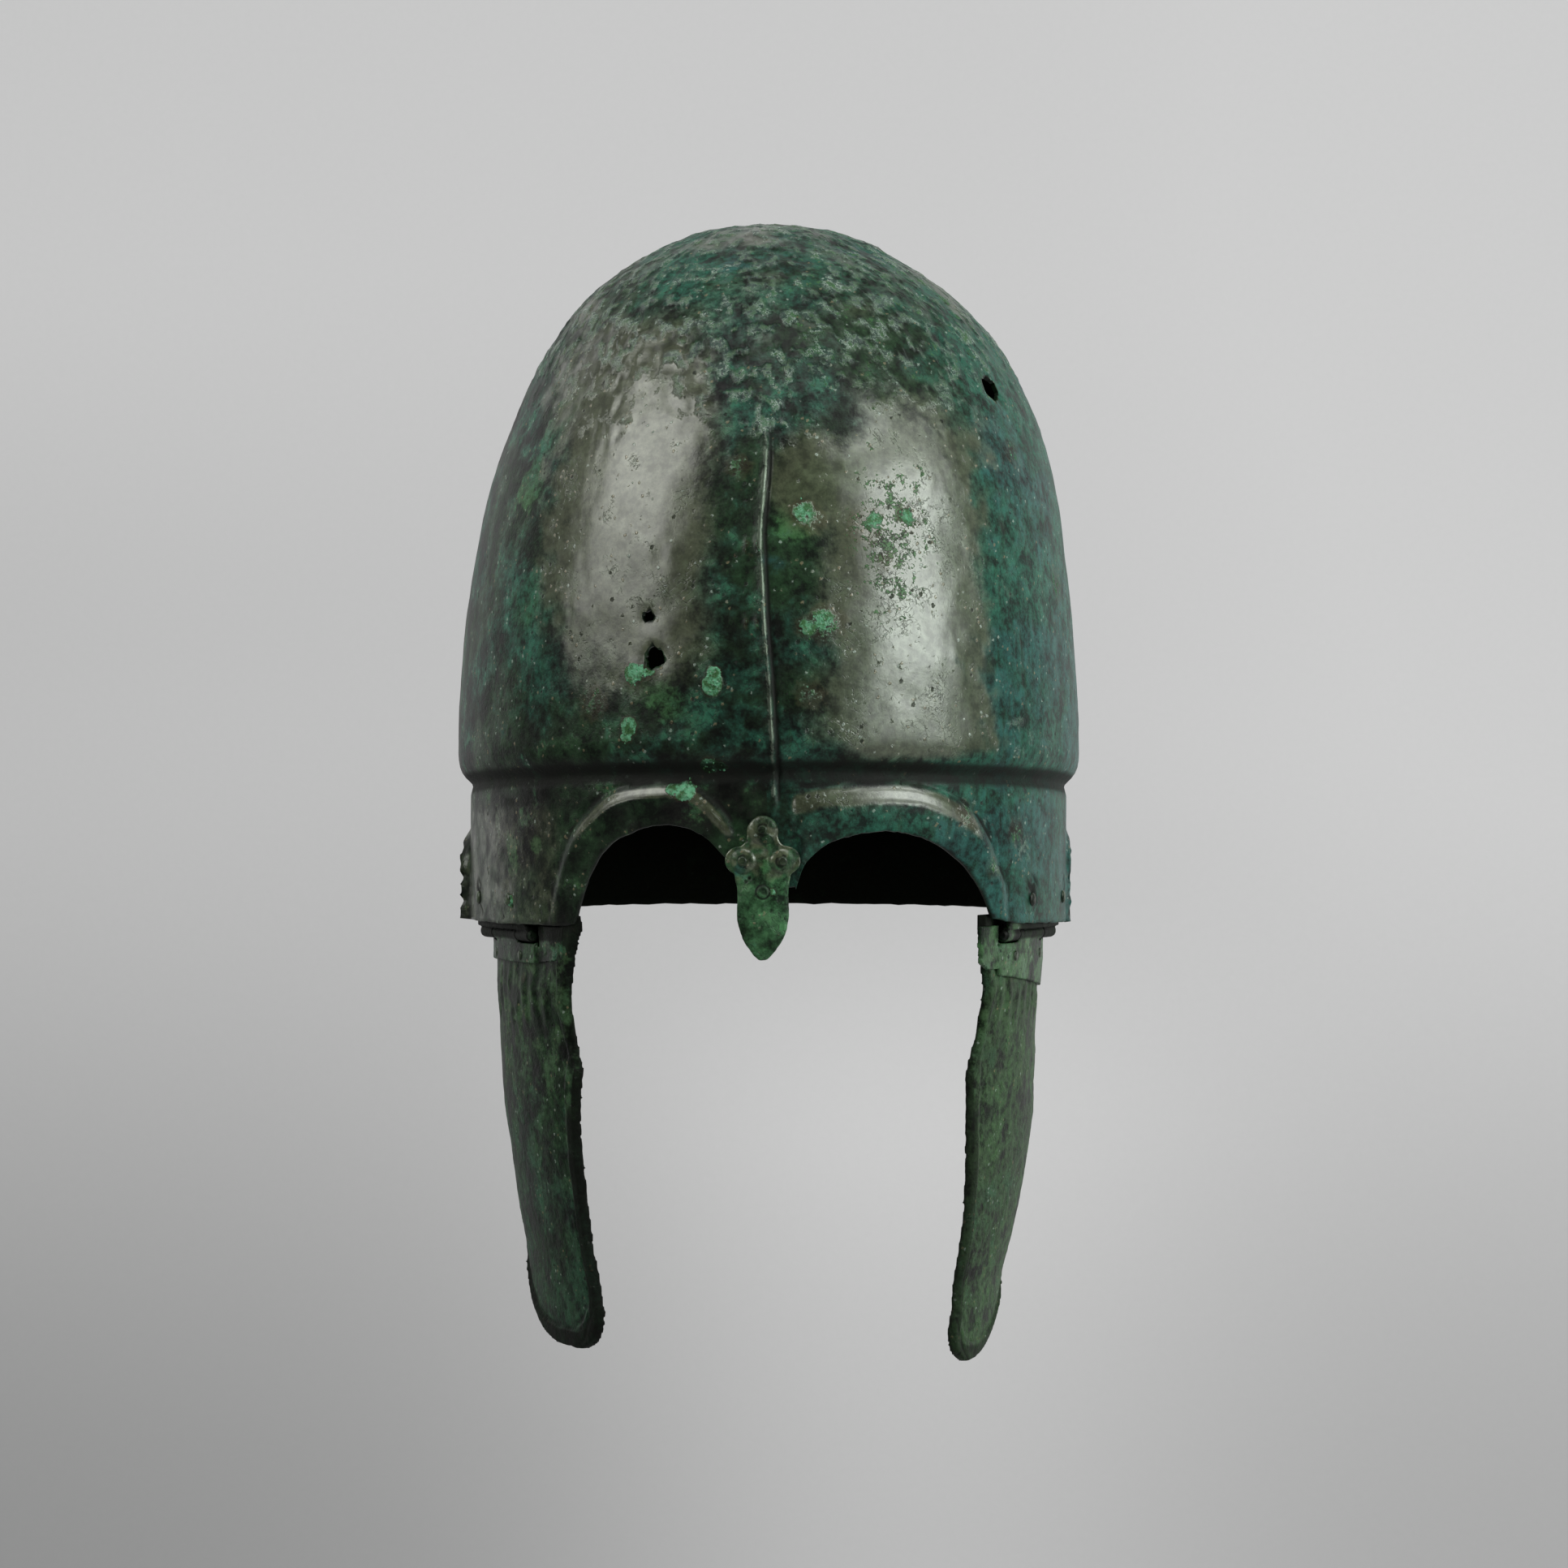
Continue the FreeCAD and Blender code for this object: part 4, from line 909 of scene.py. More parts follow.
def cloud(tree, vector, scale, detail, roughness):
    """Noise about 0.5."""
    return node(tree, "ShaderNodeTexNoise", {
        "Vector": vector, "Scale": scale, "Detail": detail, "Roughness": roughness}).outputs["Fac"]


def shifted(tree, vector, place, turn=(0, 0, 0), scale=(1, 1, 1)):
    """A place moved, turned and stretched, so that two clouds differ."""
    return node(tree, "ShaderNodeMapping", {
        "Vector": vector, "Location": place, "Rotation": turn, "Scale": scale}).outputs[0]


def socket(tree, name, kind, way, value=None):
    """A new input or output of a tree."""
    made = tree.interface.new_socket(name, in_out=way, socket_type=f"NodeSocket{kind}")
    if value is not None:
        made.default_value = value


def patina_group(colours):
    """Shared effect: colour, roughness, metal, gloss and height of weathered bronze."""
    tree = bpy.data.node_groups.new("weathered bronze", "ShaderNodeTree")
    socket(tree, "Vector", "Vector", "INPUT")
    for name in MARKS:
        socket(tree, name.capitalize(), "Float", "INPUT", 0.0)
    for name in ("Brightness", "Fleck Amount"):
        socket(tree, name, "Float", "INPUT", 1.0)
    for name in HelmetColours.__annotations__:
        socket(tree, name.replace("_", " ").capitalize() + " Colour", "Color", "INPUT",
               (*getattr(colours, name), 1.0))
    socket(tree, "Colour", "Color", "OUTPUT")
    for name in ("Roughness", "Metal", "Gloss", "Height"):
        socket(tree, name, "Float", "OUTPUT")
    given = node(tree, "NodeGroupInput").outputs
    at = given["Vector"]
    broad = cloud(tree, at, 34.0, 4.0, 0.6)
    middle = cloud(tree, shifted(tree, at, (3.1, 0.7, 1.9)), 120.0, 5.0, 0.62)
    small = cloud(tree, shifted(tree, at, (0.3, 5.2, 2.7)), 430.0, 4.0, 0.62)
    fine = cloud(tree, shifted(tree, at, (1.7, 2.2, 4.1)), 1500.0, 3.0, 0.6)

    def times(*values, clamp=False):
        return calc(tree, "MULTIPLY", *values, clamp=clamp)

    def highest(*values, clamp=False):
        return calc(tree, "MAXIMUM", *values, clamp=clamp)

    def less(value, other):
        return calc(tree, "SUBTRACT", value, other)

    def gap(value, level):
        return calc(tree, "ABSOLUTE", less(value, level))

    def total(value, *pairs, clamp=False):
        """A value with others added, each followed by its strength."""
        for other, strength in zip(pairs[::2], pairs[1::2]):
            value = calc(tree, "MULTIPLY_ADD", other, strength, value, clamp=clamp)
        return value

    def ragged(value, *pairs):
        """A value made ragged by clouds, each followed by its strength."""
        for cloudy, strength in zip(pairs[::2], pairs[1::2]):
            value = total(value, less(cloudy, 0.5), strength)
        return value

    def soft(low, high, value, *pairs):
        """A soft step of a value that clouds make ragged."""
        return step(tree, ragged(value, *pairs), low, high)

    def mixed(share, first, second):
        return blend(tree, share, given[first + " Colour"], given[second + " Colour"])

    def painted(share, strength, over):
        """The colour so far under another one, which may be named."""
        over = given[over + " Colour"] if isinstance(over, str) else over
        return blend(tree, times(share, strength), colour, over)

    def cells(place, scale):
        """Distance to the middle of a ragged cell, and the cell's own colour in parts."""
        push = times(less(fine, 0.5), 0.0014)
        place = node(tree, "ShaderNodeVectorMath", {0: place, 1: push}, operation="ADD")
        made = node(tree, "ShaderNodeTexVoronoi", {"Vector": place.outputs[0], "Scale": scale})
        parts = node(tree, "ShaderNodeSeparateColor", {0: made.outputs["Color"]})
        return made.outputs["Distance"], parts.outputs

    # Patina in overlapping patches
    colour = mixed(soft(0.42, 0.62, broad, small, 0.25), "Green black", "Soot")
    leaf = soft(0.10, 0.42, times(given["Leaf"], 0.55), middle, 1.5, broad, 0.7, small, 0.5)
    colour = painted(leaf, 0.52, "Leaf green")
    teal = soft(0.22, 0.74, given["Teal"], broad, 1.5, middle, 0.9, small, 0.35)
    colour = painted(teal, 0.92, "Teal")
    blue = soft(0.72, 1.15, given["Teal"], broad, -2.6, middle, 1.6, small, 0.5)
    colour = painted(blue, 0.48, "Blue")
    drip = shifted(tree, at, (5.0, 2.0, 0.0), scale=(1.0, 1.0, 0.16))
    drip = soft(0.54, 0.64, cloud(tree, drip, 420.0, 3.0, 0.6))
    colour = painted(times(drip, soft(0.45, 0.9, teal, broad, 1.6)), 0.42, "Green black")
    # Olive patina; on the bowl's fields under the broad highlights it is partly a painted
    # highlight.
    olive = soft(0.20, 0.80, given["Olive"], middle, 0.6, small, 0.2)
    colour = painted(olive, 0.85, "Olive")
    tone = node(tree, "ShaderNodeMapRange", {
        0: ragged(middle, small, 0.9, fine, 0.35), 1: 0.32, 2: 0.68, 3: 0.22, 4: 2.0}).outputs[0]
    tone = total(1.0, less(tone, 1.0), total(1.0, olive, -0.55))
    tone = times(tone, given["Brightness"])
    grey = node(tree, "ShaderNodeCombineColor", {0: tone, 1: tone, 2: tone}).outputs[0]
    colour = blend(tree, 1.0, colour, grey, "MULTIPLY")

    # Dark pits and pale or earthy flecks, each in some cells of a pattern of cells
    away, parts = cells(at, 330.0)
    pit = times(soft(0.26, 0.14, away), soft(0.84, 0.92, parts[0], middle, 1.6))
    away, parts = cells(shifted(tree, at, (2.0, 1.0, 3.0)), 560.0)
    fleck = times(soft(0.34, 0.16, away), soft(0.84, 0.96, parts[1], middle, 2.4),
                  given["Fleck Amount"])
    colour = painted(fleck, 0.62, mixed(soft(0.35, 0.45, parts[0]), "Pale", "Tan"))
    colour = painted(pit, 0.75, "Soot")

    # Low islands of corrosion with a dark outline
    island = ragged(given["Scab"], middle, 1.5, small, 2.1, fine, 1.3)
    scab = soft(0.90, 0.96, island)
    outline = times(soft(0.80, 0.90, island), less(1.0, scab))
    colour = painted(scab, 0.85, mixed(soft(0.50, 0.62, fine, small, 0.7), "Soot", "Leaf green"))
    colour = painted(outline, 0.75, "Soot")

    # Long fine scratches
    scratches = []
    for turn, place in (((0.2, 0.75, 0.0), (0.0, 3.0, 1.0)), ((0.1, -1.0, 0.0), (4.0, 0.0, 2.0))):
        drawn = shifted(tree, shifted(tree, at, place, turn), (0, 0, 0), scale=(1.0, 1.0, 0.06))
        line = soft(0.016, 0.005, gap(cloud(tree, drawn, 560.0, 2.0, 0.5), 0.5))
        scratches.append(times(line, soft(0.54, 0.62, middle, broad, 0.6)))
    scratch = highest(*scratches)
    colour = painted(scratch, 0.50, "Soot")

    # Crust, mint spots with a rusty seam, grime and painted shade, bare edges (on the bowl's keel
    # and brow crests also a painted highlight) and the inside painted dark as shade
    crust = soft(0.35, 1.0, given["Crust"], small, 0.9, middle, 0.5)
    bloom = soft(0.56, 0.80, times(crust, 0.42), fine, 1.3)
    colour = painted(crust, 0.60, mixed(soft(0.42, 0.60, small), "Teal", "Leaf green"))
    grit = ragged(small, fine, 0.35)
    # Pale crests on the crust: bleached crust, and also painted glints on its bumps.
    crest = times(soft(0.035, 0.006, gap(grit, 0.50)), crust, soft(0.40, 0.62, middle))
    colour = painted(crest, 0.85, "Pale")
    colour = painted(times(soft(0.030, 0.008, gap(grit, 0.42)), crust), 0.70, "Soot")
    colour = painted(times(bloom, crust), 0.75, "Pale")
    spot = ragged(given["Mint"], small, 0.75, fine, 0.35)
    mint = soft(0.40, 0.56, spot)
    colour = painted(times(soft(0.14, 0.34, spot), less(1.0, mint)), 0.20, "Rust")
    light = mixed(soft(0.40, 0.60, small), "Mint", "Leaf green")
    light = blend(tree, times(soft(0.56, 0.7, fine), 0.6), light, given["Pale Colour"])
    colour = blend(tree, mint, colour, light)
    wear = soft(0.35, 0.8, given["Wear"], fine, 0.9)
    colour = painted(wear, 0.7, mixed(0.35, "Olive", "Pale"))
    # Grime and painted shade: real dirt, and shade painted in grooves, in the keel's crevice and
    # round the hinges.
    grime = soft(0.12, 0.75, given["Grime"], small, 0.6)
    colour = painted(grime, 0.88, "Soot")
    # Painted shade: faces marked as inside are darkened to near black.
    colour = painted(given["Inside"], 0.92, "Soot")

    # Roughness, metal, gloss of the smooth patina and height
    rough = total(0.30, middle, 0.25, olive, -0.05, mint, 0.30,
                  highest(grime, given["Inside"]), 0.22)
    rough = total(rough, small, 0.08, clamp=True)
    metal = times(highest(times(olive, 0.30), wear), 0.8, clamp=True)
    metal = times(metal, less(1.0, highest(mint, crust)), clamp=True)
    dull = highest(mint, grime, pit, scab, outline, given["Inside"], clamp=True)
    gloss = total(times(soft(0.38, 0.66, middle), 0.18), olive, 0.66)
    gloss = times(highest(gloss, times(crust, 0.60)), total(0.65, small, 0.7),
                  total(1.0, scratch, -0.45), less(1.0, times(dull, 0.92)), clamp=True)
    height = times(total(times(fine, 0.22), small, 0.55), total(1.0, olive, -0.8))
    height = total(height, pit, -0.55, scab, 0.30, fleck, 0.3, scratch, -0.16,
                   times(crust, total(small, fine, 0.8)), 3.2, crest, 0.9,
                   times(mint, calc(tree, "ADD", fine, 0.3)), 0.9)
    out = node(tree, "NodeGroupOutput")
    for name, value in (("Colour", colour), ("Roughness", rough), ("Metal", metal),
                        ("Gloss", gloss), ("Height", height)):
        tree.links.new(value, out.inputs[name])
    return tree


def bronze(name, group, marks=None, brightness=1.0, flecks=1.0, bump=0.35, specular=0.24,
           ior=1.5, coat=True, changes=None):
    """A material of weathered bronze. Marks are read from the mesh where none are given."""
    material = bpy.data.materials.new(name)
    material.use_nodes = True
    tree = material.node_tree
    tree.nodes.clear()
    place = node(tree, "ShaderNodeTexCoord").outputs["Object"]
    patina = node(tree, "ShaderNodeGroup", node_tree=group)
    tree.links.new(place, patina.inputs["Vector"])
    for mark in MARKS:
        if marks is None:
            read = node(tree, "ShaderNodeAttribute", attribute_name=mark)
            tree.links.new(read.outputs["Fac"], patina.inputs[mark.capitalize()])
        else:
            patina.inputs[mark.capitalize()].default_value = marks.get(mark, 0.0)
    patina.inputs["Brightness"].default_value = brightness
    patina.inputs["Fleck Amount"].default_value = flecks
    for key, value in (changes or {}).items():
        patina.inputs[key].default_value = (*value, 1.0)
    relief = node(tree, "ShaderNodeBump", {
        "Height": patina.outputs["Height"], "Strength": bump, "Distance": 1.0 * MM})
    surface = node(tree, "ShaderNodeBsdfPrincipled", {
        "Base Color": patina.outputs["Colour"], "Roughness": patina.outputs["Roughness"],
        "Metallic": patina.outputs["Metal"], "Normal": relief.outputs[0],
        "Specular IOR Level": specular, "IOR": ior, "Coat Roughness": 0.21, "Coat IOR": 1.9})
    if coat:
        tree.links.new(patina.outputs["Gloss"], surface.inputs["Coat Weight"])
        tree.links.new(relief.outputs[0], surface.inputs["Coat Normal"])
    out = node(tree, "ShaderNodeOutputMaterial")
    tree.links.new(surface.outputs[0], out.inputs[0])
    return material


def group_of(context):
    """The shared effect, built once."""
    made = bpy.data.node_groups.get("weathered bronze")
    return made or patina_group(context.scene.helmet_colours)


# Outlines in side view of sheet added ahead of each hinge, to close the gap below the temple;
# darkened with the top of the cheekpiece, they fill that gap with painted shade
HORN_WEB = ((-68.8, -224.0), (-76.0, -224.0), (-76.0, -212.7), (-70.0, -213.3), (-68.8, -215.0))
HORN_TONGUE = (
    (-50.0, -224.0), (-71.0, -224.0), (-71.0, -213.2), (-52.0, -213.9), (-50.0, -216.5),
)
LEAF_FRONTS = {
    "right": ((-64.0, -222.3), (-68.9, -222.3), (-68.9, -215.9), (-84.4, -216.0),
              (-83.4, -221.0), (-82.6, -225.6), (-76.0, -226.6), (-64.0, -227.4)),
    "left": ((-64.0, -222.3), (-68.9, -222.3), (-68.9, -215.9), (-79.6, -216.0),
             (-80.0, -222.0), (-78.6, -227.0), (-73.6, -229.2), (-67.6, -229.0), (-64.0, -230.8)),
}
# Each side's thickness of that front, then its teal, olive and leaf marks
LEAF_LOOKS = {"right": (0.9, 0.25, 0.1, 0.4), "left": (1.3, 0.15, 0.25, 0.55)}
# Each side's first seed of noise, and slant of the flutes
CHEEK_SEEDS = {"right": 30, "left": 20}
CHEEK_SLANTS = {"right": -0.08, "left": 0.12}
# How far a worn cheekpiece stands out from its plain form: height, at the rear, at the front
CHEEK_SHIFTS = {
    "right": (
        (-213.0, 0.0, 3.2), (-218.0, 0.0, 3.2), (-222.7, 0.0, 2.8), (-227.5, 0.4, 2.4),
        (-242.0, 0.7, 2.4), (-247.0, 0.9, 1.9), (-251.5, 1.2, 1.8), (-256.3, 1.3, 2.2),
        (-261.2, 1.4, 2.8), (-266.0, 1.7, 2.8), (-275.6, 1.7, 2.6), (-285.2, 1.0, 2.2),
        (-294.8, 0.7, 1.7), (-304.4, 0.7, 1.7), (-314.0, 0.1, 1.7), (-323.7, 0.7, 1.7),
        (-333.3, 1.6, 2.6), (-345.0, 1.6, 2.6),
    ),
    "left": (
        (-213.0, 0.0, 1.9), (-218.0, 0.0, 2.0), (-222.7, 0.0, 2.5), (-227.5, 0.3, 1.9),
        (-237.0, 0.1, 1.0), (-242.0, 0.4, 0.2), (-251.5, 0.7, -0.5), (-256.3, 1.2, -1.0),
        (-266.0, 1.4, -1.0), (-275.6, 2.1, -1.0), (-285.2, 1.7, -0.5), (-294.8, 1.2, -0.2),
        (-304.4, 0.5, 0.2), (-314.0, -0.5, 0.2), (-323.7, -1.8, 0.0), (-333.3, -1.3, 1.1),
        (-345.0, -1.4, 1.4),
    ),
}


def ahead_of_hinge(depth):
    """How far forward of the hinge a place lies, from 0 to 1."""
    return smooth(-67.5, -80.0, depth)


def cheek_shift(points, side, share):
    """Points of a cheekpiece moved outwards by its table, from the rear to the front."""
    table = np.array(CHEEK_SHIFTS[side])
    back, ahead = (by_height(table[:, (0, column)], points[:, 2]) for column in (1, 2))
    moved = points.copy()
    moved[:, 0] += SIDES[side] * (back + (ahead - back) * share)
    return moved


def across_and_out(front, rear):
    """Length of a line in plan, and the way out from it."""
    run = np.array(rear) - np.array(front)
    length = np.linalg.norm(run)
    return length, np.array((run[1], -run[0])) / length


def cheek_arc(side, height):
    """Centre and radius of a cheekpiece's outer face in plan at a height, on +X."""
    chord, out = across_and_out(CHEEK_FRONT_POINT, CHEEK_REAR_POINT)
    hinge_out = across_and_out(HINGE_FRONT, HINGE_REAR)[1]
    radius = chord**2 / (8 * CHEEK_BOW) + CHEEK_BOW / 2
    middle = (np.array(CHEEK_REAR_POINT) + np.array(CHEEK_FRONT_POINT)) / 2
    share = (CHEEK_TOP - np.atleast_1d(height)) / CHEEK_LENGTH[side]
    inset = share * CHEEK_LEAN + share * np.abs(share) * CHEEK_TIP_TURN
    return middle - out * (radius - CHEEK_BOW) - hinge_out * inset[:, None], radius


def cheek_out(points, side):
    """How far each point lies out from a cheekpiece's outer face."""
    centre, radius = cheek_arc(side, points[:, 2])
    across = points[:, 0] * SIDES[side] - centre[:, 0]
    return np.hypot(across, points[:, 1] - centre[:, 1]) - radius


def sheet_block(side, outline, near, far):
    """A flat outline in side view as a block between two distances out from the sheet."""
    rings = []
    for out in (near, far):
        ring = []
        for depth, height in outline:
            centre, radius = cheek_arc(side, height)
            across = centre[0, 0] + math.sqrt((radius + out) ** 2 - (depth - centre[0, 1]) ** 2)
            ring.append((SIDES[side] * across, depth, height))
        rings.append(ring)
    return rings


def edge_of(first, second, keep_low):
    """For each point, the lowest or highest second value near its first value."""
    bins = np.floor(first - first.min()).astype(int)
    ends = np.full(bins.max() + 1, np.inf if keep_low else -np.inf)
    pick = np.minimum if keep_low else np.maximum
    pick.at(ends, bins, second)
    return np.interp(first, first.min() + np.arange(len(ends)) + 0.5, ends)


def make_cheekpiece(side):
    """A cheekpiece: worn copy of its node with flutes, dents and a battered rim."""
    webs = [sheet_block(side, HORN_WEB, -CHEEK_SHEET, 0.0),
            sheet_block(side, HORN_TONGUE, -2.9, -1.35)]
    piece = weathered_copy(f"{side}_cheekpiece", f"{side}_cheek", CHEEK_VOXEL, webs)
    points, normals = places_of(piece.data)
    face = smooth(-0.9, -0.3, cheek_out(points, side))
    x, y, z = points.T
    to_front = y - edge_of(z, y, True)
    to_foot = z - edge_of(y, z, True)
    low = smooth(-262, -275, z)
    seed = CHEEK_SEEDS[side]
    broad = noise_at(points, 16.0, seed + 1)
    small = noise_at(points, 4.5, seed + 2)
    fine = noise_at(points, 1.8, seed + 3)
    ridge = np.cos((y + CHEEK_SLANTS[side] * (z + 235)) * 2 * math.pi / FLUTE_PITCH)
    flutes = smooth(-224, -229, z) * smooth(-250, -242, z) * smooth(4.0, 9.0, to_front)
    flutes *= smooth(-0.6, 0.5, noise_at(points, 9.0, seed + 6))
    rise = FLUTE_DEPTH * flutes * ridge * face + 0.16 * broad + 0.10 * small + 0.05 * fine
    seam = bump(to_front - 3.3, 0.6) + bump(to_foot - 5.6, 0.7)
    rise -= SEAM_DEPTH * np.clip(seam, 0, 1) * face * low
    rise = rise * (1 - 0.85 * smooth(-233, -224, z))
    rise = rise * (0.35 + 0.65 * smooth(0, 2.0, to_front + 0.2))
    points = points + normals * rise[:, None]
    nibble = noise_at(points, 3.4, seed + 4, 3)
    points[:, 1] += 0.22 * np.abs(nibble) * (1 - smooth(0, 1.6, to_front)) * smooth(-223, -228, z)
    width = edge_of(z, y, False) - edge_of(z, y, True)
    share = np.clip(1 - to_front / np.maximum(width, 8.0), 0, 1)
    share = share + (ahead_of_hinge(y) - share) * smooth(-236, -228, z)
    points = cheek_shift(points, side, share)
    put_places(piece.data, points)
    rim = np.clip((1 - smooth(1.8, 3.0, to_front)) * low + (1 - smooth(4.0, 5.4, to_foot)), 0, 1)
    speckle = smooth(-0.1, 0.6, small + 0.6 * fine)
    # Painted shade: the top of each cheekpiece under the hinge, with its horn and tongue, is
    # darkened, and its inner face is marked as inside. The rims, the seams and, on the right, the
    # lower part are darker as well.
    shade_under_hinge = smooth(-222.6, -220.6, z)
    if side == "right":
        marks = {"teal": 0.22 + 0.2 * smooth(-250, -300, z),
                 "olive": (0.10 + 0.25 * broad * low) * smooth(-310, -270, z),
                 "leaf": 0.25 + 0.5 * smooth(-0.2, 0.5, small) * smooth(-262, -232, z),
                 "grime": most(0.8 * rim + 0.25 * seam * low + 0.22 * smooth(-275, -325, z),
                               shade_under_hinge),
                 "crust": 0.30 * speckle, "wear": 0.25 * bump(to_front, 0.7)}
    else:
        marks = {"teal": 0.22, "olive": 0.12 + 0.3 * broad, "leaf": 0.85 + 0.2 * small,
                 "grime": most(0.5 * rim + 0.3 * seam * low, 0.8 * shade_under_hinge),
                 "crust": 0.42 * speckle, "wear": 0.3 * bump(to_front, 0.9)}
    marks["mint"] = spots(points, [((SIDES[side] * 74, -58, -232), 1.8)]) * 0.4
    marks["inside"] = 0.75 * (1 - face)
    set_marks(piece, marks)
    return piece


def make_leaf(side, level):
    """A hinge leaf: worn copy of its node."""
    front, teal, olive, leaf = LEAF_LOOKS[side]
    upper = level == "upper"
    added = [] if upper else [sheet_block(side, LEAF_FRONTS[side], 0.1, front)]
    piece = weathered_copy(f"{side}_hinge_{level}_leaf", f"{side}_{level}_leaf", LEAF_VOXEL,
                           added)
    points, normals = places_of(piece.data)
    seed = 40 + 2 * (side == "left") + upper
    rise = 0.05 * noise_at(points, 3.0, seed) + 0.03 * noise_at(points, 1.2, seed + 7)
    points += normals * (rise - 0.02)[:, None]
    if not upper:
        points = cheek_shift(points, side, ahead_of_hinge(points[:, 1]))
    put_places(piece.data, points)
    speckle = smooth(-0.2, 0.6, noise_at(points, 3.6, seed + 11))
    # Painted shade: the upper leaf is darkened all over and marked as inside, the lower leaf
    # darkened near its top under the temple; both less so ahead of the left hinge.
    shade = smooth(-221.4, -219.6, points[:, 2])
    ahead = smooth(-58.0, -64.0, points[:, 1]) if side == "left" else 0.0
    set_marks(piece, {"teal": teal, "olive": olive, "leaf": leaf, "crust": 0.45 * speckle,
                      "grime": 0.95 * (1 - 0.75 * ahead) * (1.0 if upper else 0.8 * shade),
                      "inside": 0.6 * (1 - ahead) if upper else 0.0})
    return piece


def make_nasal():
    """The nasal plate: three lobes with domed rivet seats over a swelling leaf."""
    piece = weathered_copy("nasal_guard", "nasal_plate", NASAL_VOXEL)
    points, normals = places_of(piece.data)
    x, y, z = points.T
    out = (np.sqrt((x / WALL_SIDE) ** 2 + (y / WALL_FRONT) ** 2) - 1) * WALL_FRONT
    face = smooth(0.5, 1.6, out)
    rise, seam, bead = np.zeros((3, len(points)))
    ring_break = smooth(-0.45, 0.35, noise_at(points, 1.9, 53))
    for across, height, radius in NASAL_LOBES:
        away = np.hypot(x - across, z - height)
        rise = most(rise, np.clip(1 - (away / radius) ** 2, 0, 1) ** 0.6)
        seam = most(seam, bump(away - radius, 0.45))
        bead = most(bead, bump(away - 1.75, 0.35) * ring_break)
    leaf = smooth(-201, -206, z) * (1 - np.clip(np.abs(x - NASAL_CENTRE) / 7.6, 0, 1) ** 2)
    rise += NASAL_SWELL * leaf * smooth(-226, -214, z)
    ring = np.hypot(x - NASAL_RING[0], z - NASAL_RING[1])
    prick = bump(np.hypot(x - NASAL_PRICK[0], z - NASAL_PRICK[1]), 0.6)
    rise += 0.22 * bump(ring - 1.35, 0.32) - 0.30 * bump(ring - 2.0, 0.30)
    rise -= 0.10 * seam + PRICK_DEPTH * prick
    rise += 0.20 * noise_at(points, 2.2, 51) + 0.14 * noise_at(points, 6.0, 52)
    points = points + normals * (rise * face)[:, None]
    put_places(piece.data, points)
    bare = smooth(-0.2, 0.5, noise_at(points, 3.0, 54))
    set_marks(piece, {
        "teal": 0.50 - 0.2 * smooth(-200, -190, z),
        "olive": (0.2 + 0.5 * smooth(-206, -196, z)) * smooth(-0.6, 0.4, noise_at(points, 4.0, 55)),
        "grime": np.clip(most(0.35 * seam * (z > -200), 0.9 * bead) + prick
                         + 0.8 * bump(ring - 2.0, 0.3) + 0.5 * bump(ring, 0.5), 0, 1) * face,
        "mint": 0.7 * spots(points, [((1.6, -114.2, -204.9), 1.1)]),
        "wear": most(0.4 * bump(ring - 1.35, 0.35), 0.45 * smooth(-202, -196, z) * bare),
        "crust": 0.15, "leaf": 0.8 * spots(points, [((-1.3, -114.0, -197.5), 2.6)]),
        "inside": 0.8 * (1 - face)})
    return piece
# Geometry trees: rivet heads on points, and crumbs of mint crust strewn over the bowl


def start_tree(name, *inputs):
    """A geometry tree with its inputs and output, and what it is given."""
    tree = bpy.data.node_groups.new(name, "GeometryNodeTree")
    for label, kind, *value in (("Geometry", "Geometry"), *inputs):
        socket(tree, label, kind, "INPUT", *value)
    socket(tree, "Geometry", "Geometry", "OUTPUT")
    return tree, node(tree, "NodeGroupInput").outputs


def end_tree(tree, made, material):
    """Shades what a tree has made smooth, paints it and puts it out."""
    soft = node(tree, "GeometryNodeSetShadeSmooth", {0: made})
    painted = node(tree, "GeometryNodeSetMaterial", {
        "Geometry": soft.outputs[0], "Material": material})
    node(tree, "NodeGroupOutput", {0: painted.outputs[0]})
    return tree


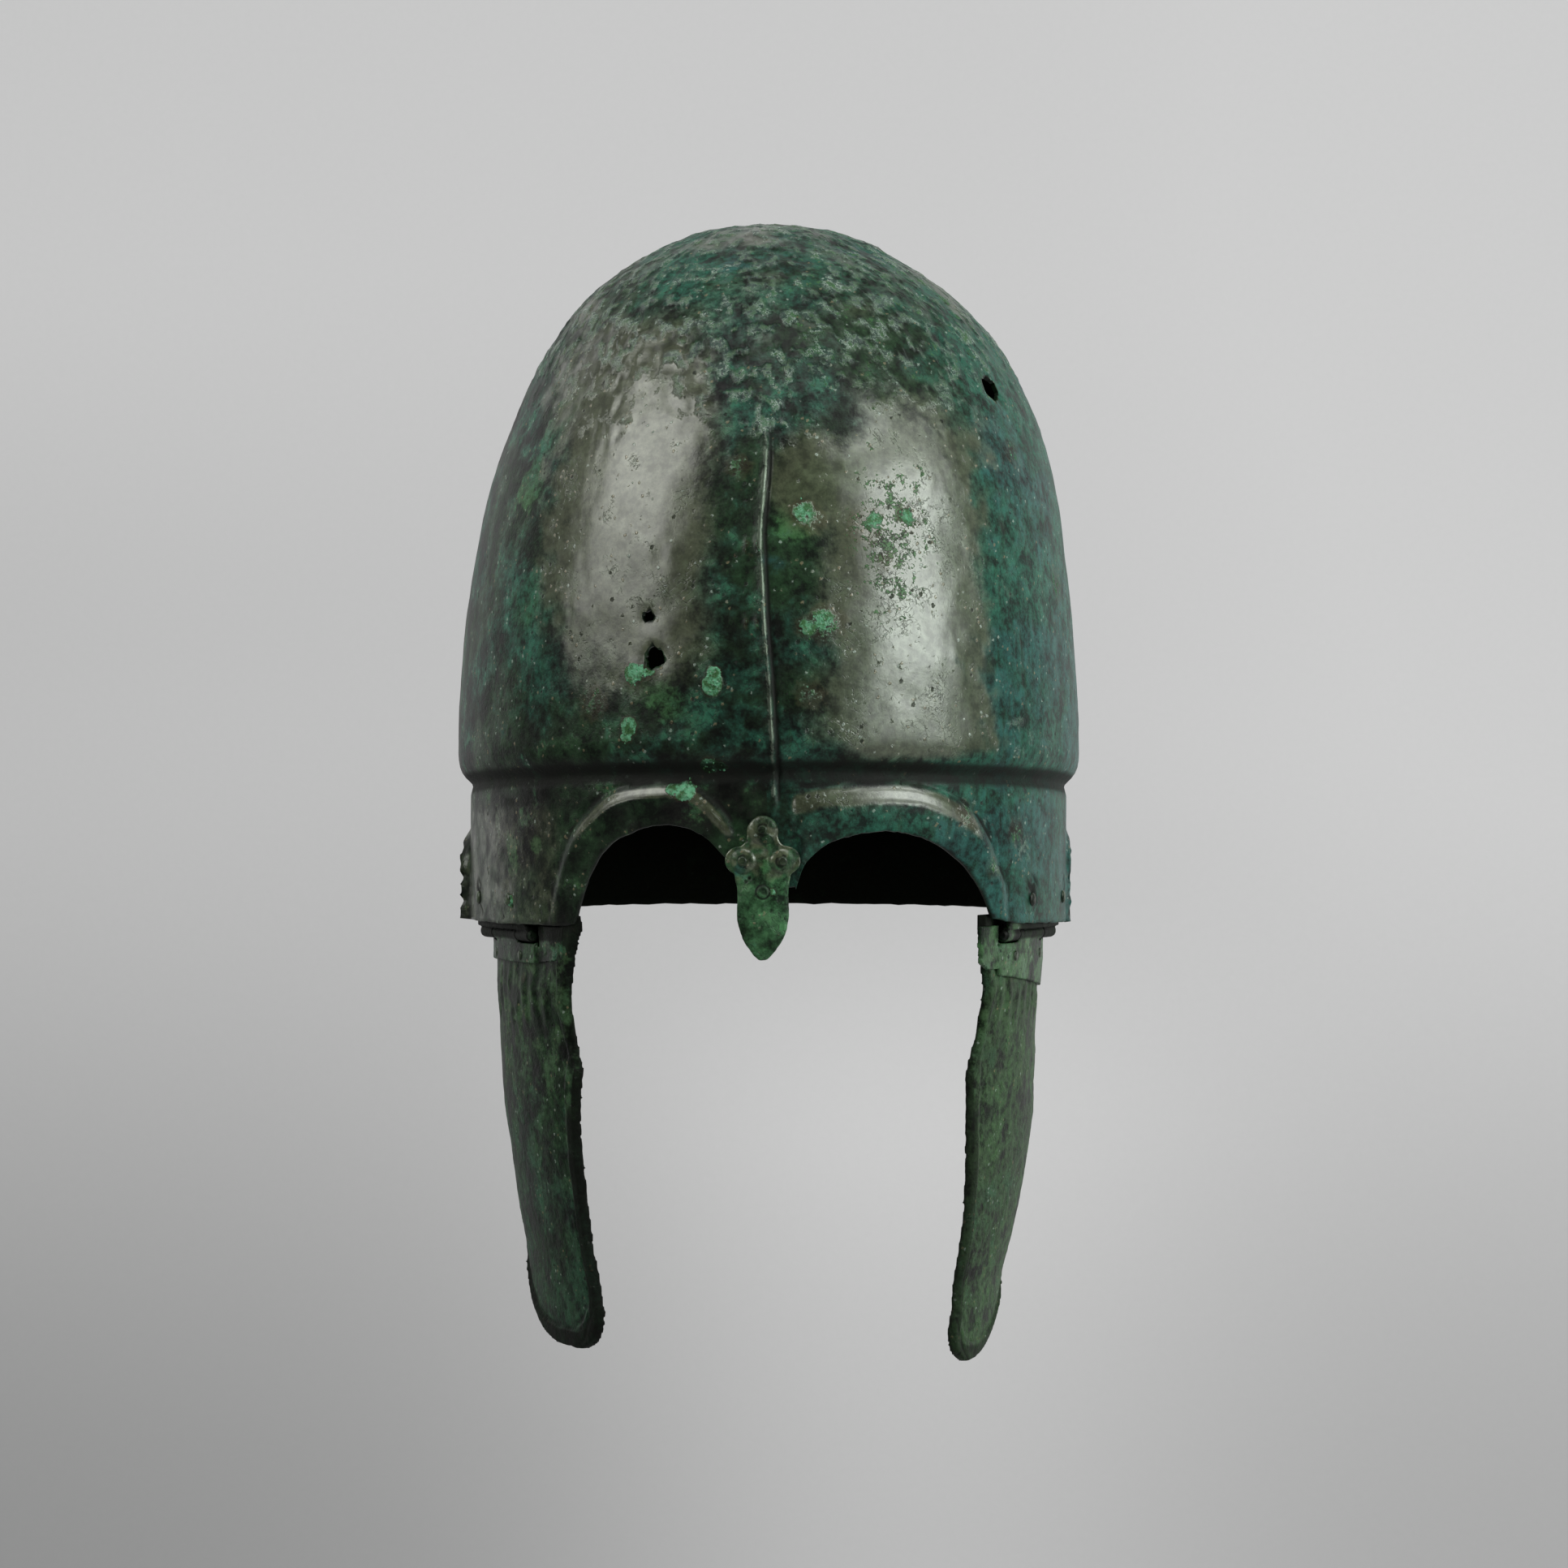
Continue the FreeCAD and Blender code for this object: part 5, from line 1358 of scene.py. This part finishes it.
def rivet_tree(material):
    """Geometry tree: a slightly uneven dome on each point, by its way and spread."""
    tree, given = start_tree("rivet heads", ("Segments", "Int", 28), ("Flat Top", "Float", 0.86),
                             ("Unevenness", "Float", 0.05), ("Seed", "Int", 4))
    ball = node(tree, "GeometryNodeMeshUVSphere", {
        "Segments": given["Segments"], "Rings": 16, "Radius": 1.0})
    place = node(tree, "GeometryNodeInputPosition").outputs[0]
    x, y, z = node(tree, "ShaderNodeSeparateXYZ", {0: place}).outputs
    high = calc(tree, "MINIMUM", calc(tree, "MAXIMUM", z, -0.12), given["Flat Top"])
    shaped = node(tree, "ShaderNodeCombineXYZ", {0: x, 1: y, 2: high}).outputs[0]
    dome = node(tree, "GeometryNodeSetPosition", {"Geometry": ball.outputs[0], "Position": shaped})
    way, spread = (
        node(tree, "GeometryNodeInputNamedAttribute", {"Name": name}, data_type="FLOAT_VECTOR")
        for name in ("way", "spread"))
    turn = node(tree, "FunctionNodeAlignRotationToVector", {"Vector": way.outputs[0]}, axis="Z")
    put = node(tree, "GeometryNodeInstanceOnPoints", {
        "Points": given["Geometry"], "Instance": dome.outputs[0],
        "Rotation": turn.outputs[0], "Scale": spread.outputs[0]})
    real = node(tree, "GeometryNodeRealizeInstances", {0: put.outputs[0]})
    lumps = node(tree, "ShaderNodeTexNoise", {
        "Scale": 900.0, "Detail": 2.0, "W": given["Seed"]}, noise_dimensions="4D")
    offset = node(tree, "ShaderNodeVectorMath", {
        0: lumps.outputs["Color"], 1: (0.5, 0.5, 0.5)}, operation="SUBTRACT")
    reach = calc(tree, "MULTIPLY", given["Unevenness"], 0.002)
    offset = node(tree, "ShaderNodeVectorMath", {
        0: offset.outputs[0], "Scale": reach}, operation="SCALE")
    uneven = node(tree, "GeometryNodeSetPosition", {
        "Geometry": real.outputs[0], "Offset": offset.outputs[0]})
    return end_tree(tree, uneven.outputs[0], material)


def crumb_tree(material):
    """Geometry tree: small uneven crumbs on a surface, as dense as its mint mark."""
    tree, given = start_tree("crust crumbs", ("Density", "Float", 500000.0),
                             ("Size", "Float", 0.4 * MM), ("Seed", "Int", 11))
    mark = node(tree, "GeometryNodeInputNamedAttribute", {"Name": "mint"}, data_type="FLOAT")
    dense = node(tree, "ShaderNodeMapRange", {0: mark.outputs[0], 1: 0.35, 2: 0.9}).outputs[0]
    strewn = node(tree, "GeometryNodeDistributePointsOnFaces", {
        "Mesh": given["Geometry"], "Density": calc(tree, "MULTIPLY", dense, given["Density"]),
        "Seed": given["Seed"]}).outputs
    ball = node(tree, "GeometryNodeMeshIcoSphere", {"Radius": 1.0, "Subdivisions": 1})
    size = node(tree, "FunctionNodeRandomValue", {
        2: calc(tree, "MULTIPLY", given["Size"], 0.35), 3: given["Size"], "Seed": given["Seed"],
    }, data_type="FLOAT")
    put = node(tree, "GeometryNodeInstanceOnPoints", {
        "Points": strewn[0], "Instance": ball.outputs[0],
        "Rotation": strewn["Rotation"], "Scale": size.outputs[1]})
    flat = node(tree, "GeometryNodeScaleInstances", {
        "Instances": put.outputs[0], "Scale": (1.0, 1.3, 0.6)})
    real = node(tree, "GeometryNodeRealizeInstances", {0: flat.outputs[0]})
    return end_tree(tree, real.outputs[0], material)


def grown(piece, tree, **inputs):
    """The piece with a tree worked into it; inputs are named as in the tree's sockets."""
    modifier = piece.modifiers.new(tree.name, "NODES")
    modifier.node_group = tree
    for item in tree.interface.items_tree:
        name = item.name.lower().replace(" ", "_")
        if item.item_type == "SOCKET" and item.in_out == "INPUT" and name in inputs:
            modifier[item.identifier] = inputs[name]
    return settled(piece)


def rivet_points(rivet, head_out, tail_out, head, tail):
    """Places of a rivet's head and tail, read from its node, with their way and spread."""
    points = places_of(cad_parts[rivet].data)[0]
    centre = (points.min(0) + points.max(0)) / 2

    def girth(axis):
        along = (points - centre) @ axis
        return np.linalg.norm(points - centre - along[:, None] * axis, axis=1).max()

    axis = min(np.linalg.svd(points - points.mean(0), full_matrices=False)[2], key=girth)
    if axis @ (centre * (1, 1, 0)) < 0:
        axis = -axis
    along = (points - centre) @ axis
    high, low = centre + axis * along.max(), centre + axis * along.min()
    return [(high - axis * (head[1] - head_out), axis, (head[0], *head)),
            (low + axis * (tail[1] - tail_out), -axis, (tail[0], *tail))]


def make_rivets(name, rows, tree, flat_top):
    """One plain mesh of rivet heads and tails from rows of place, way and spread."""
    piece = make_object(name, [row[0] for row in rows], [])
    for label, column, unit in (("way", 1, 1.0), ("spread", 2, MM)):
        attribute = piece.data.attributes.new(label, "FLOAT_VECTOR", "POINT")
        values = np.array([row[column] for row in rows], np.float32) * unit
        attribute.data.foreach_set("vector", values.ravel())
    return grown(piece, tree, flat_top=flat_top)


class HELMET_OT_bowl(bpy.types.Operator):
    """Makes the bowl: a hammered sheet with keel, shoulder, brows and corrosion"""
    bl_idname = "helmet.bowl"
    bl_label = "Bowl"

    def execute(self, context):
        points, faces, marks, within_from = bowl_places(context.scene.helmet_sizes)
        piece = make_object("helmet_bowl", points, faces, marks)
        for face in piece.data.polygons:
            face.material_index = int(min(face.vertices) > within_from)
        facing_out(piece)
        piece.data.materials.append(bronze("bowl bronze", group_of(context)))
        # The inner face gets a dark, dull material: painted shade inside the bowl.
        piece.data.materials.append(bronze(
            "inside bronze", group_of(context), brightness=0.4, flecks=0.2, specular=0.02,
            ior=1.3, coat=False))
        cut_holes(piece)
        finish_piece(piece, "helmet", None, SLOTS["bowl"], "bowl")
        return {"FINISHED"}


class HELMET_OT_nasal(bpy.types.Operator):
    """Makes the nasal plate with its lobes, leaf and punched ring"""
    bl_idname = "helmet.nasal"
    bl_label = "Nasal plate"

    def execute(self, context):
        piece = make_nasal()
        material = bronze("nasal bronze", group_of(context), brightness=1.55, flecks=0.9,
                          bump=0.5, changes={"Teal Colour": (0.026, 0.080, 0.032)})
        finish_piece(piece, "helmet", material, SLOTS["nasal"], "nasal_guard")
        return {"FINISHED"}


class HELMET_OT_cheekpieces(bpy.types.Operator):
    """Makes the two cheekpieces with their rims and flutes"""
    bl_idname = "helmet.cheekpieces"
    bl_label = "Cheekpieces"

    def execute(self, context):
        for side, brightness in (("left", 1.02), ("right", 0.98)):
            piece = make_cheekpiece(side)
            material = bronze(f"{side} cheek bronze", group_of(context), brightness=brightness,
                              bump=0.5, specular=0.14, coat=False,
                              changes={"Teal Colour": (0.022, 0.068, 0.038),
                                       "Leaf green Colour": (0.058, 0.115, 0.048)})
            finish_piece(piece, f"{side}_cheek", material, f"{side}_cheek_bronze",
                         f"{side}_cheekpiece")
        return {"FINISHED"}


class HELMET_OT_hinges(bpy.types.Operator):
    """Makes the leaves of both hinges and finishes their pins"""
    bl_idname = "helmet.hinges"
    bl_label = "Hinges"

    def execute(self, context):
        group = group_of(context)
        # Painted shade: the right hinge's leaves are made darker than the left's, and the pins are
        # darkened.
        leaves = {side: bronze(f"{side} hinge bronze", group, brightness=level, bump=0.45)
                  for side, level in (("left", 1.15), ("right", 0.8))}
        pin = bronze("pin bronze", group, {"teal": 0.2, "grime": 0.45, "wear": 0.3},
                     brightness=1.1, bump=0.4)
        for side in SIDES:
            for level, body in (("upper", "helmet"), ("lower", f"{side}_cheek")):
                finish_piece(make_leaf(side, level), body, leaves[side], SLOTS["hinge"],
                             f"{side}_hinge_{level}_leaf")
            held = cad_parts[f"{side}_hinge_pin"]
            if not held.material_slots:
                held.data.materials.append(pin)
            for slot in held.material_slots:
                slot.material = pin
        return {"FINISHED"}


class HELMET_OT_rivets(bpy.types.Operator):
    """Makes the heads and tails of all rivets"""
    bl_idname = "helmet.rivets"
    bl_label = "Rivets"

    def execute(self, context):
        material = bronze("rivet bronze", group_of(context),
                          {"teal": 0.25, "olive": 0.4, "wear": 0.2}, brightness=1.1, bump=0.3)
        tree = rivet_tree(material)
        ends = ("rear", "front")
        sets = [
            ("nasal_rivets", "helmet", [f"nasal_rivet_{end}" for end in ("top", "left", "right")],
             (0.62, 0.05, (1.45, 1.1), (1.6, 0.8)), 0.72),
            ("bowl_rivets", "helmet",
             [f"{side}_bowl_rivet_{end}" for side in SIDES for end in ends],
             (0.0, 0.0, (2.0, 0.9), (1.6, 0.8)), 0.86),
        ]
        for side in SIDES:
            sets.append((f"{side}_cheek_rivets", f"{side}_cheek",
                         [f"{side}_cheek_rivet_{end}" for end in ends],
                         (0.0, 0.0, (1.6, 0.6), (1.6, 0.8)), 0.86))
        for name, body, nodes, form, flat_top in sets:
            rows = [row for rivet in nodes for row in rivet_points(rivet, *form)]
            piece = make_rivets(name, rows, tree, flat_top)
            finish_piece(piece, body, material, SLOTS["rivet"], *nodes)
        return {"FINISHED"}


class HELMET_OT_crust(bpy.types.Operator):
    """Strews crumbs of mint crust over the bowl's spots"""
    bl_idname = "helmet.crust"
    bl_label = "Mint crust"

    def execute(self, context):
        sizes = context.scene.helmet_sizes
        material = bronze("mint crust", group_of(context), {"mint": 0.9}, brightness=1.2,
                          bump=0.5, specular=0.3, coat=False)
        piece = put_in_scene("crust_crumbs", bpy.data.objects["helmet_bowl"].data.copy())
        grown(piece, crumb_tree(material), density=sizes.crumb_density, size=sizes.crumb_size)
        finish_piece(piece, "helmet", material, SLOTS["bowl"])
        return {"FINISHED"}


# Studio, in metres

# Soft boxes: name, way round from the front in degrees, tint, then each layer's width, height,
# height of its middle and share of the light
SOFT_BOXES = (
    ("left box", -64, (1.0, 1.0, 0.97), (
        (1.02, 1.10, 0.50, 0.44), (0.80, 0.80, 0.52, 0.50), (0.58, 0.50, 0.60, 0.55))),
    ("right box", 60, (0.95, 1.0, 0.97), (
        (1.00, 1.20, 0.22, 0.32), (0.80, 0.94, 0.20, 0.32), (0.54, 0.46, 0.17, 1.95))),
    ("brow box", 47, (0.95, 1.0, 0.97), ((0.62, 0.36, 0.98, 1.20),)),
)
BOX_DISTANCE, LAYER_GAP = 1.1, 0.02
REAR_TURN, REAR_DISTANCE, REAR_RADIANCE = 132, 1.2, 0.5
TOP_RADIANCE = 2.6
AIM = (0.0, 0.0, -0.13)
CAMERA_ACROSS = 0.00485
# Paper: height of the floor, place and top of the wall, bend between them, near end, half width
FLOOR, WALL, PAPER_TOP, PAPER_BEND, PAPER_NEAR, PAPER_SIDE = -0.77, 1.25, 2.2, 0.55, -3.0, 2.6


def round_about(turn, near, height):
    """A place round from the front by an angle in degrees, at a distance and a height."""
    turn = math.radians(turn)
    return near * math.sin(turn), -near * math.cos(turn), height


def area_light(name, place, size, radiance, tint=(1.0, 1.0, 1.0)):
    """A soft box at a place, facing the helmet, as bright all over as the radiance says."""
    light = bpy.data.lights.new(name, "AREA")
    light.shape = "RECTANGLE"
    light.size, light.size_y = size
    light.energy = radiance * math.pi * size[0] * size[1]
    light.color = tint
    lamp = put_in_scene(name, light)
    lamp.location = place
    lamp.rotation_euler = (Vector(AIM) - Vector(place)).to_track_quat("-Z", "Y").to_euler()


def paper_painted_light(tree, place, backdrop):
    """Painted light on the paper: the tone it shows the camera, darker below, with painted pools of
    light in places, and grain.
    """
    x, y, z = node(tree, "ShaderNodeSeparateXYZ", {0: place}).outputs

    def total(level, value, strength):
        return calc(tree, "MULTIPLY_ADD", value, strength, level)

    level = node(tree, "ShaderNodeMapRange", {0: z, 1: -0.66, 2: -0.12, 3: 0.52, 4: 0.98},
                 interpolation_type="SMOOTHSTEP").outputs[0]
    # Painted light: a pool low in the middle, more to the right, and a little more at the top left.
    across = calc(tree, "DIVIDE", calc(tree, "SUBTRACT", x, 0.08), 0.20)
    middle = calc(tree, "POWER", 2.718, calc(
        tree, "MULTIPLY", -1.0, calc(tree, "POWER", across, 2.0)))
    level = total(level, calc(tree, "MULTIPLY", middle, step(tree, z, -0.20, -0.40)), 0.30)
    level = total(level, x, 0.20)
    level = total(level, step(tree, z, -0.10, 0.15), total(0.07, x, -0.12))
    level = total(level, step(tree, x, 0.10, 0.40), 0.05)
    level = calc(tree, "MINIMUM", level, 1.10)
    grain = cloud(tree, place, 260.0, 3.0, 0.7)
    level = calc(tree, "MULTIPLY", level, total(0.975, grain, 0.05))
    return node(tree, "ShaderNodeVectorMath", {0: tuple(backdrop), "Scale": level},
                operation="SCALE").outputs[0]


def sweep_material(settings):
    """Grey paper: it glows for the camera with painted light in a gradient, and keeps soft shadows.
    """
    material = bpy.data.materials.new("grey paper")
    material.use_nodes = True
    tree = material.node_tree
    tree.nodes.clear()
    place = node(tree, "ShaderNodeTexCoord").outputs["Object"]
    tone = paper_painted_light(tree, place, settings.backdrop)
    shown = node(tree, "ShaderNodeEmission", {"Color": tone, "Strength": 0.9})
    paper = node(tree, "ShaderNodeBsdfDiffuse", {"Color": (0.12, 0.12, 0.12, 1)})
    both = node(tree, "ShaderNodeAddShader", {0: shown.outputs[0], 1: paper.outputs[0]})
    matt = node(tree, "ShaderNodeBsdfDiffuse", {"Color": (0.45, 0.45, 0.45, 1)})
    path = node(tree, "ShaderNodeLightPath").outputs
    seen = calc(tree, "MAXIMUM", path["Is Camera Ray"], path["Is Glossy Ray"],
                path["Is Transmission Ray"])
    mixed = node(tree, "ShaderNodeMixShader", {0: seen, 1: matt.outputs[0], 2: both.outputs[0]})
    behind = node(tree, "ShaderNodeNewGeometry").outputs["Backfacing"]
    clear = node(tree, "ShaderNodeBsdfTransparent")
    sided = node(tree, "ShaderNodeMixShader", {
        0: behind, 1: mixed.outputs[0], 2: clear.outputs[0]})
    node(tree, "ShaderNodeOutputMaterial", {0: sided.outputs[0]})
    return material


def make_sweep(settings):
    """Floor and wall of one sheet of paper, curved between them, clear when seen from behind."""
    profile = [(PAPER_NEAR, FLOOR), (WALL - PAPER_BEND, FLOOR)]
    for turn in np.linspace(0, math.pi / 2, 13)[1:]:
        profile.append((WALL - PAPER_BEND + PAPER_BEND * math.sin(turn),
                        FLOOR + PAPER_BEND * (1 - math.cos(turn))))
    profile.append((WALL, PAPER_TOP))
    points = [(side * PAPER_SIDE / MM, y / MM, z / MM) for y, z in profile for side in (-1, 1)]
    faces = [(2 * i, 2 * i + 1, 2 * i + 3, 2 * i + 2) for i in range(len(profile) - 1)]
    paper = make_object("paper_sweep", points, faces)
    paper.data.materials.append(sweep_material(settings))


def make_world(settings):
    """A dark room, lighter behind the helmet, that shows the camera the paper's grey."""
    world = bpy.data.worlds.new("studio room")
    bpy.context.scene.world = world
    world.use_nodes = True
    tree = world.node_tree
    tree.nodes.clear()
    way = node(tree, "ShaderNodeTexCoord").outputs["Generated"]
    ahead = node(tree, "ShaderNodeSeparateXYZ", {0: way}).outputs[1]
    level = node(tree, "ShaderNodeMapRange", {
        0: ahead, 1: -0.2, 2: 0.9, 3: settings.world_level, 4: 0.16},
        interpolation_type="SMOOTHSTEP").outputs[0]
    room = node(tree, "ShaderNodeBackground", {"Color": (0.97, 1.0, 0.98, 1), "Strength": level})
    shown = node(tree, "ShaderNodeBackground", {"Color": (*settings.backdrop, 1), "Strength": 1.0})
    path = node(tree, "ShaderNodeLightPath").outputs
    mixed = node(tree, "ShaderNodeMixShader", {
        0: path["Is Camera Ray"], 1: room.outputs[0], 2: shown.outputs[0]})
    node(tree, "ShaderNodeOutputWorld", {0: mixed.outputs[0]})


class HELMET_OT_studio(bpy.types.Operator):
    """Sets up the paper sweep, the soft boxes, the room and the camera"""
    bl_idname = "helmet.studio"
    bl_label = "Studio"

    def execute(self, context):
        settings, scene = context.scene.studio_settings, context.scene
        scene.view_settings.view_transform = "Standard"
        make_sweep(settings)
        make_world(settings)
        for name, turn, tint, layers in SOFT_BOXES:
            for layer, (width, height, middle, share) in enumerate(layers):
                place = round_about(turn, BOX_DISTANCE - LAYER_GAP * layer, middle)
                area_light(f"{name} {layer}", place, (width, height),
                           share * settings.box_radiance, tint)
            place = round_about(math.copysign(REAR_TURN, turn), REAR_DISTANCE, 0.0)
            area_light(f"rear {name}", place, (0.30, 1.2), REAR_RADIANCE)
        area_light("top box", (0.0, -0.40, 1.00), (0.8, 0.6), TOP_RADIANCE)
        camera = put_in_scene("camera", bpy.data.cameras.new("camera"))
        camera.data.lens = settings.camera_lens
        camera.data.sensor_width = 36.0
        camera.data.clip_start, camera.data.clip_end = 0.05, 30.0
        camera.location = (CAMERA_ACROSS, -settings.camera_distance, settings.camera_height)
        camera.rotation_euler = (math.pi / 2, 0.0, 0.0)
        scene.camera = camera
        return {"FINISHED"}


OPERATORS = (
    HELMET_OT_bowl, HELMET_OT_nasal, HELMET_OT_cheekpieces, HELMET_OT_hinges,
    HELMET_OT_rivets, HELMET_OT_crust, HELMET_OT_studio,
)


class HELMET_PT_panel(bpy.types.Panel):
    """Lists the helmet's pieces and its studio"""
    bl_idname = "HELMET_PT_panel"
    bl_label = "Helmet"
    bl_space_type = "VIEW_3D"
    bl_region_type = "UI"
    bl_category = "Helmet"

    def draw(self, context):
        for operator in OPERATORS:
            self.layout.operator(operator.bl_idname)
        for group in (context.scene.helmet_sizes, context.scene.helmet_colours,
                      context.scene.studio_settings):
            box = self.layout.box()
            for name in group.bl_rna.properties.keys():
                if name not in ("rna_type", "name"):
                    box.prop(group, name)


GROUPS = (
    ("helmet_sizes", HelmetSizes), ("helmet_colours", HelmetColours),
    ("studio_settings", StudioSettings),
)


def register():
    for name, group in GROUPS:
        bpy.utils.register_class(group)
        setattr(bpy.types.Scene, name, bpy.props.PointerProperty(type=group))
    for item in (*OPERATORS, HELMET_PT_panel):
        bpy.utils.register_class(item)


def unregister():
    for item in reversed((*OPERATORS, HELMET_PT_panel)):
        bpy.utils.unregister_class(item)
    for name, group in reversed(GROUPS):
        delattr(bpy.types.Scene, name)
        bpy.utils.unregister_class(group)


def main():
    register()
    for item in OPERATORS:
        section, name = item.bl_idname.split(".")
        getattr(getattr(bpy.ops, section), name)()


if __name__ == "__main__":
    main()
